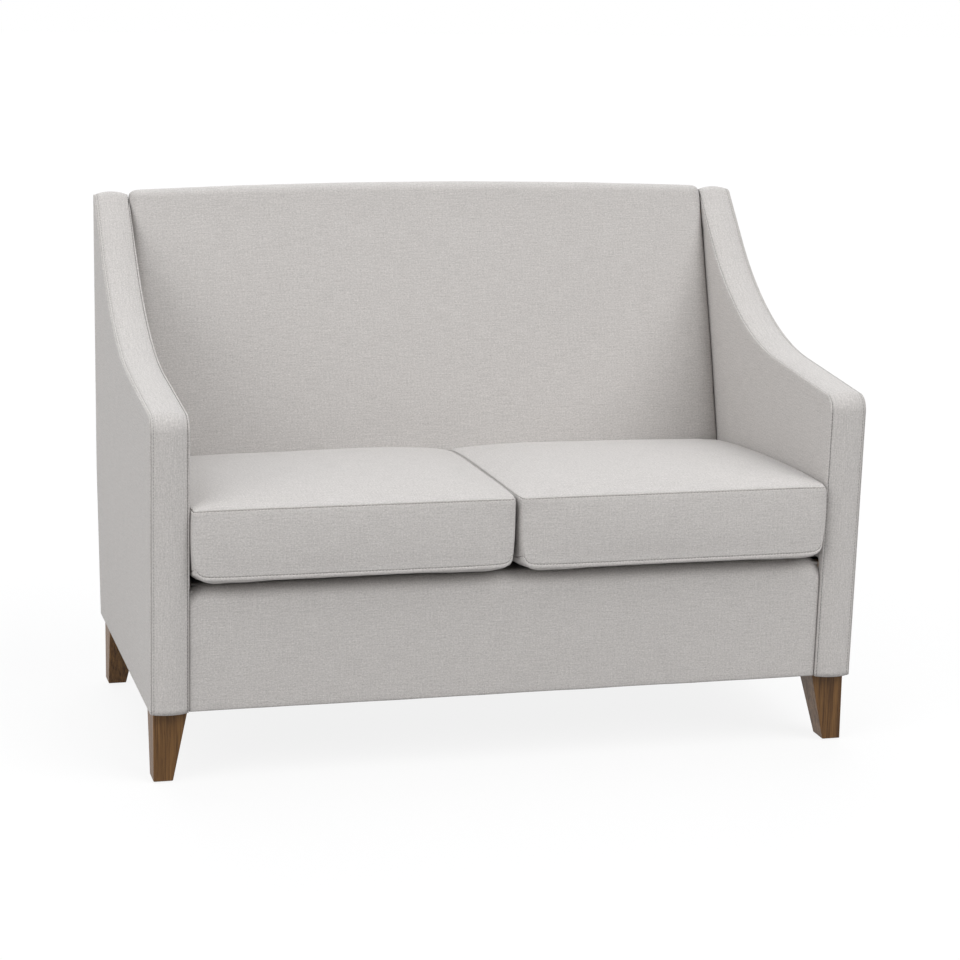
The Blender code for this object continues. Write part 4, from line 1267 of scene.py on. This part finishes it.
def seam_kind(point):
    """Which seam a point lies on: the front top seam is drawn in most."""
    if point.z < deck_line(point.y) + CUSHION_THICK / 2:
        return "low"
    return "front" if point.y < CUSHION_FRONT + FRONT_ZONE else "side"


def seam_tree(points):
    tree = KDTree(len(points))
    for i, (point, _) in enumerate(points):
        tree.insert(point, i)
    tree.balance()
    return tree


def thread_depth(kind):
    """How deep the stitches lie under the seam's own line: on the groove's bottom."""
    return GROOVE_DEPTH[kind] - THREAD_PROUD


def sew(piece, seed):
    mesh = subdivided(piece, 1)
    bm = bmesh.new()
    bm.from_mesh(mesh)
    edges = seam_edges(bm)
    seam_points = [each for run in ordered_loops(edges) for each in run]
    near = seam_tree(seam_points)
    bm.normal_update()
    for vert in bm.verts:
        point, i, gap = near.find(vert.co)
        vert.co -= seam_points[i][1] * PINCH[seam_kind(point)] * max(0.0, 1 - gap / PINCH_REACH) ** 1.5
        pull = PUCKER * max(0.0, 1 - gap / PUCKER_REACH) ** 2
        wave = noise.noise(vert.co / PUCKER_SIZE + Vector((seed, 0, 0)))
        roll = noise.noise(vert.co / UNDULATION_SIZE + Vector((0, seed, 0)))
        vert.co += vert.normal * (pull * wave + UNDULATION * roll * min(1, gap / UNDULATION_REACH))
    bm.normal_update()
    loops = ordered_loops(edges)
    seam_points = [each for run in loops for each in run]
    near = seam_tree(seam_points)
    bmesh.ops.bevel(
        bm, geom=edges, offset=GROOVE_HALF, offset_type="OFFSET", segments=4, profile=0.5,
        affect="EDGES", clamp_overlap=True,
    )
    for vert in bm.verts:
        point, i, _ = near.find(vert.co)
        along = seam_points[(i + 1) % len(seam_points)][0] - seam_points[i][0]
        aside = vert.co - point
        if along.length > 0:
            aside -= along * (aside.dot(along) / along.length_squared)
        if aside.length < GROOVE_REACH:
            depth = GROOVE_DEPTH[seam_kind(point)] * (1 - aside.length / GROOVE_REACH)
            vert.co -= seam_points[i][1] * depth
    bm.to_mesh(mesh)
    bm.free()
    mesh.shade_smooth()
    piece.data = mesh
    return [[(point - out * thread_depth(seam_kind(point)), out) for point, out in run] for run in loops]


for number, (label, side) in enumerate(SIDES.items()):
    piece = cushions[label]
    runs = sew(piece, 11.0 + 7 * number)
    keep_clear(piece, side)
    dress(piece, [f"seat_cushion_{label}"], body=f"cushion_{label}")
    stitches = lay_stitches(f"seat_cushion_{label}_stitches", runs, shade_darkened_thread)
    dress(stitches, body=f"cushion_{label}")
    print(label, "cushion:", len(piece.data.polygons), "faces,", len(runs), "seams")

# %% [markdown]
# ## Deck and dust cover
# Under the cushions a plain cloth is stretched over the springs, and below the base a thin black one keeps
# dust out. Both are single sheets. They sag a little between what holds them, which a flat plane wouldn't.

# %% Deck and dust cover
DECK_SHEET, DUST_SHEET = 0.0016, 0.0009
DECK_SAG, DUST_SAG = 0.0015, 0.0025
DECK_DROP, DUST_DROP = 0.0004, 0.0002
SPRING_STEP = 0.143


def thin_sheet(name, xs, ys, height, thickness, finish, keep=None):
    """A closed sheet over a grid: height(x, y) is its upper face, and keep(x, y) says what isn't cut off."""
    bm = bmesh.new()
    uv = bm.loops.layers.uv.new(PANEL_UV)
    grid = {(i, j): bm.verts.new((x, y, height(x, y))) for i, x in enumerate(xs) for j, y in enumerate(ys)}
    for i in range(len(xs) - 1):
        for j in range(len(ys) - 1):
            if keep is None or keep((xs[i] + xs[i + 1]) / 2, (ys[j] + ys[j + 1]) / 2):
                bm.faces.new((grid[i, j], grid[i + 1, j], grid[i + 1, j + 1], grid[i, j + 1]))
    bmesh.ops.delete(bm, geom=[v for v in bm.verts if not v.link_faces], context="VERTS")
    area = sum(face.calc_area() for face in bm.faces)
    bmesh.ops.solidify(bm, geom=bm.faces[:], thickness=thickness)
    lay_flat(bm.faces, uv, lambda point: point.xy)
    return add_piece(name, bm, finish), area


deck_low, deck_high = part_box("seat_deck")
deck_xs = np.linspace(deck_low.x, deck_high.x, 72)
deck_ys = np.linspace(deck_low.y, deck_high.y, 40)


def deck_height(x, y):
    edge = math.sin(math.pi * (y - deck_low.y) / (deck_high.y - deck_low.y))
    between = 0.5 + 0.5 * math.cos(2 * math.pi * (x - deck_low.x) / SPRING_STEP)
    return deck_line(y) - DECK_SAG * edge * between - DECK_DROP


deck, deck_area = thin_sheet("seat_deck_cloth", deck_xs, deck_ys, deck_height, DECK_SHEET, deck_cloth)
dress(deck, ["seat_deck"])

dust_low, dust_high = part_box("dust_cover")
LEG_INSET, LEG_WIDTH, LEG_CLEAR, NOTCH_LENGTH = 0.007, 0.060, 0.006, 0.095
NOTCH_X = WIDTH / 2 - LEG_INSET - LEG_WIDTH - LEG_CLEAR
NOTCH_FRONT = front_line(BASE) + NOTCH_LENGTH
NOTCH_REAR = back_line(BASE) - NOTCH_LENGTH
dust_xs = [dust_low.x, -NOTCH_X, *np.linspace(-NOTCH_X, NOTCH_X, 60)[1:-1], NOTCH_X, dust_high.x]
dust_ys = [dust_low.y, NOTCH_FRONT, *np.linspace(NOTCH_FRONT, NOTCH_REAR, 34)[1:-1], NOTCH_REAR, dust_high.y]


def dust_height(x, y):
    reach_x = 1 - (x / dust_high.x) ** 2
    reach_y = 1 - ((2 * y - dust_low.y - dust_high.y) / (dust_high.y - dust_low.y)) ** 2
    return BASE - DUST_DROP - DUST_SAG * max(0, reach_x) * max(0, reach_y)


def dust_kept(x, y):
    return abs(x) < NOTCH_X or NOTCH_FRONT < y < NOTCH_REAR


dust, dust_area = thin_sheet(
    "underside_dust_cloth", dust_xs, dust_ys, dust_height, DUST_SHEET, dust_cloth, dust_kept
)
dress(dust, ["dust_cover"])
print("deck", round(deck_area, 3), "m2, dust cover", round(dust_area, 3), "m2")
